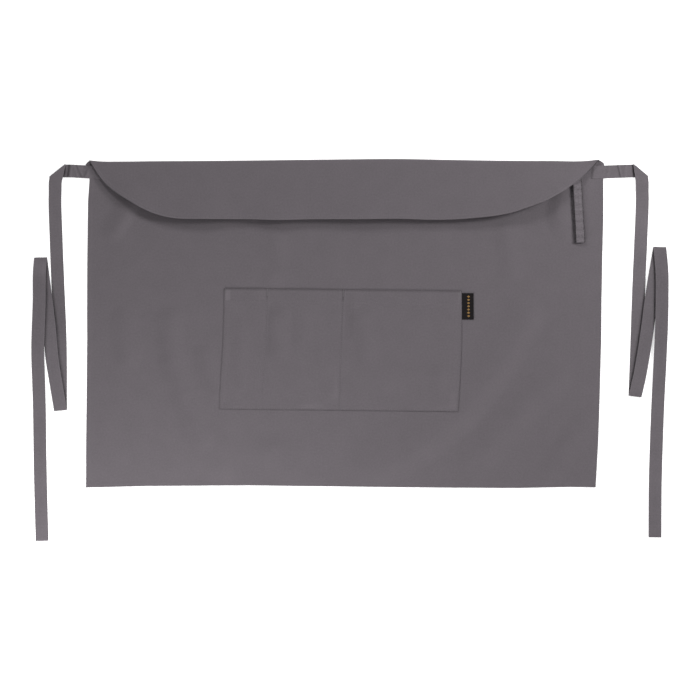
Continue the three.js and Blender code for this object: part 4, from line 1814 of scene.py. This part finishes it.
@dataclass
class Studio:
    """A camera straight above, a pale floor, and soft light from the right, from behind and in front."""

    camera_height: float = 3.782
    lens: float = 100.0
    sensor: float = 36.0
    floor_size: float = 60.0
    zenith: float = 0.336
    horizon: float = 0.68
    haze: float = 0.35

    def build(self, floor_finish: bpy.types.Material) -> None:
        """Make the camera, the floor, the world and the lights.

        Args:
            floor_finish: the floor's material.
        """
        camera = bpy.data.objects.new("camera", bpy.data.cameras.new("camera"))
        camera.data.lens = self.lens
        camera.data.sensor_width = self.sensor
        camera.data.clip_end = 100.0
        camera.location = (0.0, 0.0, self.camera_height)
        bpy.context.scene.collection.objects.link(camera)
        bpy.context.scene.camera = camera
        bpy.ops.object.select_all(action="DESELECT")
        bpy.ops.mesh.primitive_plane_add(size=self.floor_size, location=(0.0, 0.0, 0.0))
        floor = bpy.context.object
        floor.name = "floor"
        floor.data.materials.append(floor_finish)
        bpy.context.scene.world = self.sky()
        self.lamp("key", place=(1.93, 0.9, 1.2), size=(0.5, 0.5), power=46.5)
        self.lamp("fill", place=(-0.83, 2.6, 1.67), size=(0.7, 0.7), power=43.0)
        self.lamp("corner", place=(-0.52, -1.04, 0.5), size=(0.4, 0.4), power=16.0)
        view = bpy.context.scene.view_settings
        view.view_transform = "Standard"
        view.look = "None"

    def sky(self) -> bpy.types.World:
        """Make a white sky that is brighter low down than overhead.

        Returns:
            The world.
        """
        world = bpy.data.worlds.new("studio")
        world.use_nodes = True
        nodes, links = world.node_tree.nodes, world.node_tree.links
        height = nodes.new("ShaderNodeSeparateXYZ")
        fall = nodes.new("ShaderNodeMapRange")
        fall.interpolation_type = "SMOOTHSTEP"
        reach = {"From Max": self.haze, "To Min": self.horizon, "To Max": self.zenith}
        for socket, value in reach.items():
            fall.inputs[socket].default_value = value
        background = nodes["Background"]
        background.inputs["Color"].default_value = (1.0, 1.0, 1.0, 1.0)
        links.new(nodes.new("ShaderNodeTexCoord").outputs["Generated"], height.inputs[0])
        links.new(height.outputs["Z"], fall.inputs["Value"])
        links.new(fall.outputs["Result"], background.inputs["Strength"])
        return world

    def lamp(self, name: str, place: Sequence[float], size: Sequence[float], power: float) -> None:
        """Add a soft rectangular lamp that faces the origin.

        Args:
            name: the lamp's name.
            place: where it is.
            size: its width and height.
            power: its power, in watts.
        """
        data = bpy.data.lights.new(name, "AREA")
        data.shape = "RECTANGLE"
        data.size, data.size_y = size
        data.energy = power
        lamp = bpy.data.objects.new(name, data)
        lamp.location = place
        lamp.rotation_euler = (-lamp.location).to_track_quat("-Z", "Y").to_euler()
        lamp.visible_camera = False
        bpy.context.scene.collection.objects.link(lamp)


# The ties' middle lines: out from the skirt's side as a share of the reach, down as a share of the drop
LEFT_ROUTE = named_rows(
    "out down",
    (0.175, 0.0296), (0.4, 0.0283), (0.603, 0.0284), (0.644, 0.054), (0.654, 0.082), (0.634, 0.209),
    (0.605, 0.314), (0.558, 0.472), (0.55, 0.6555), (0.645, 0.577), (0.706, 0.525), (0.764, 0.438),
    (0.83, 0.362), (0.926, 0.258), (0.945, 0.288), (0.952, 0.368), (0.979, 0.498), (0.961, 0.604),
    (0.934, 0.84), (0.903, 1.0),
)
RIGHT_ROUTE = named_rows(
    "out down",
    (0.15, 0.0304), (0.640, 0.0278), (0.664, 0.0540), (0.671, 0.0820), (0.648, 0.211),
    (0.618, 0.317), (0.571, 0.53), (0.549, 0.6245), (0.610, 0.583), (0.729, 0.4764), (0.842, 0.344),
    (0.962, 0.2325), (0.996, 0.291), (1.0, 0.37), (0.969, 0.53), (0.925, 0.689), (0.891, 0.869),
    (0.886, 1.0),
)
# Wrinkles across the ties, out from the skirt's side: at, spread, height and aside in millimetres, how
# much each slants across the tie, and the painted shade that lies aside of its crest, darker below 0, a
# painted highlight above 0. Those with no height are a painted shadow line inside a turned corner and
# stretches painted paler or darker as light and shade
LEFT_WRINKLES = named_rows(
    "at spread height slant shade aside",
    (3.0, 2.6, 1.2, 0.5, -0.8, 2.0), (18.0, 2.4, 1.3, -0.5, -1.0, 2.0),
    (27.0, 2.0, 0.9, -0.4, 0.5, 0.0), (38.0, 3.2, 2.0, 0.1, -4.0, 2.0),
    (49.0, 1.8, 0.0, 0.0, -3.8, 0.0), (342.0, 100.0, 0.0, 0.0, -0.9, 0.0),
    (763.0, 100.0, 0.0, 0.0, -0.9, 0.0), (853.0, 22.0, 0.0, 0.0, 1.0, 0.0),
    (928.0, 95.0, 0.0, 0.0, -0.6, 0.0),
)
RIGHT_WRINKLES = named_rows(
    "at spread height slant shade aside",
    (-20.0, 3.2, 0.4, 0.1, -2.6, 0.0), (10.0, 3.0, 0.8, 0.2, -0.5, -2.0),
    (33.5, 1.8, 1.6, -0.2, -1.5, -1.8), (44.0, 3.2, 0.9, 0.1, 0.4, 0.0),
    (62.5, 3.2, 0.0, 0.0, -6.0, 0.0), (180.0, 50.0, 0.0, 0.0, 0.5, 0.0),
    (433.0, 110.0, 0.0, 0.0, -0.9, 0.0), (650.0, 130.0, 0.0, 0.0, -0.9, 0.0),
    (909.0, 190.0, 0.0, 0.0, -1.2, 0.0),
)


def build_finishes() -> dict[str, bpy.types.Material]:
    """Make every material.

    Returns:
        The materials, by name.
    """
    made = [
        WovenFinish("twill", (0.1000, 0.0885, 0.0980), mottle=0.11),
        WovenFinish("tie_tape", (0.1080, 0.0960, 0.1060), fleck=0.36, mottle=0.2),
        WovenFinish("loop_tape", (0.1020, 0.0905, 0.1000), fleck=0.9),
        WovenFinish(
            "woven_black",
            (0.0078, 0.0066, 0.0072),
            ridge_pitch=0.6 * MM,
            ridge_slope=0.0,
            sheen=0.03,
            gloss=0.1,
        ),
        ThreadFinish("grey_thread", (0.112, 0.101, 0.110)),
        ThreadFinish("gold_thread", (0.19, 0.105, 0.028)),
        FloorFinish(),
    ]
    return {finish.name: finish.build() for finish in made}


def main() -> None:
    """Build the studio and every piece of the apron, and report them."""
    logging.basicConfig(level=logging.INFO, format="%(message)s")
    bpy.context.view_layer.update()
    finishes = build_finishes()
    Studio().build(finishes["pale_floor"])
    dresser = Dresser(finishes)

    skirt = Skirt()
    skirt_sheet = skirt.surface()
    skirt_piece = dresser.dress(skirt_sheet.build("skirt_cloth"), "twill", "skirt")
    skirt_seams = skirt.stitches(skirt_sheet).build("skirt_stitches")
    skirt_thread = dresser.dress(skirt_seams, "grey_thread")
    skirt.flat_size()
    skirt_sheet.flat_area()

    pocket = Pocket(skirt)
    pocket_sheet = pocket.surface()
    pocket_piece = dresser.dress(pocket_sheet.build("pocket_cloth"), "twill", "pocket")
    pocket_seams = pocket.stitches(pocket_sheet).build("pocket_stitches")
    pocket_thread = dresser.dress(pocket_seams, "grey_thread")

    ties = {
        "tie_left": Tie(
            skirt,
            Side.LEFT,
            exit_x=-498.7 * MM,
            reach=101.7 * MM,
            drop=740 * MM,
            route=LEFT_ROUTE,
            wrinkles=LEFT_WRINKLES,
        ),
        "tie_right": Tie(
            skirt,
            Side.RIGHT,
            exit_x=499.5 * MM,
            reach=114.8 * MM,
            drop=733 * MM,
            route=RIGHT_ROUTE,
            wrinkles=RIGHT_WRINKLES,
        ),
    }
    for node, tie in ties.items():
        sheet = tie.surface()
        piece = dresser.dress(sheet.build(f"{node}_tape"), "tie_tape", node)
        thread = dresser.dress(tie.stitches(sheet).build(f"{node}_stitches"), "grey_thread")

    loop = TowelLoop(skirt)
    loop_sheet = loop.surface()
    loop_piece = dresser.dress(loop_sheet.build("towel_loop_tape"), "loop_tape", "towel_loop")
    loop_seams = loop.stitches(loop_sheet).build("towel_loop_stitches")
    loop_thread = dresser.dress(loop_seams, "grey_thread")

    label = LabelTab(pocket)
    dresser.dress(label.build_tab(), "woven_black", "label_tab")
    dresser.dress(label.build_motif(), "gold_thread")


if __name__ == "__main__":
    main()
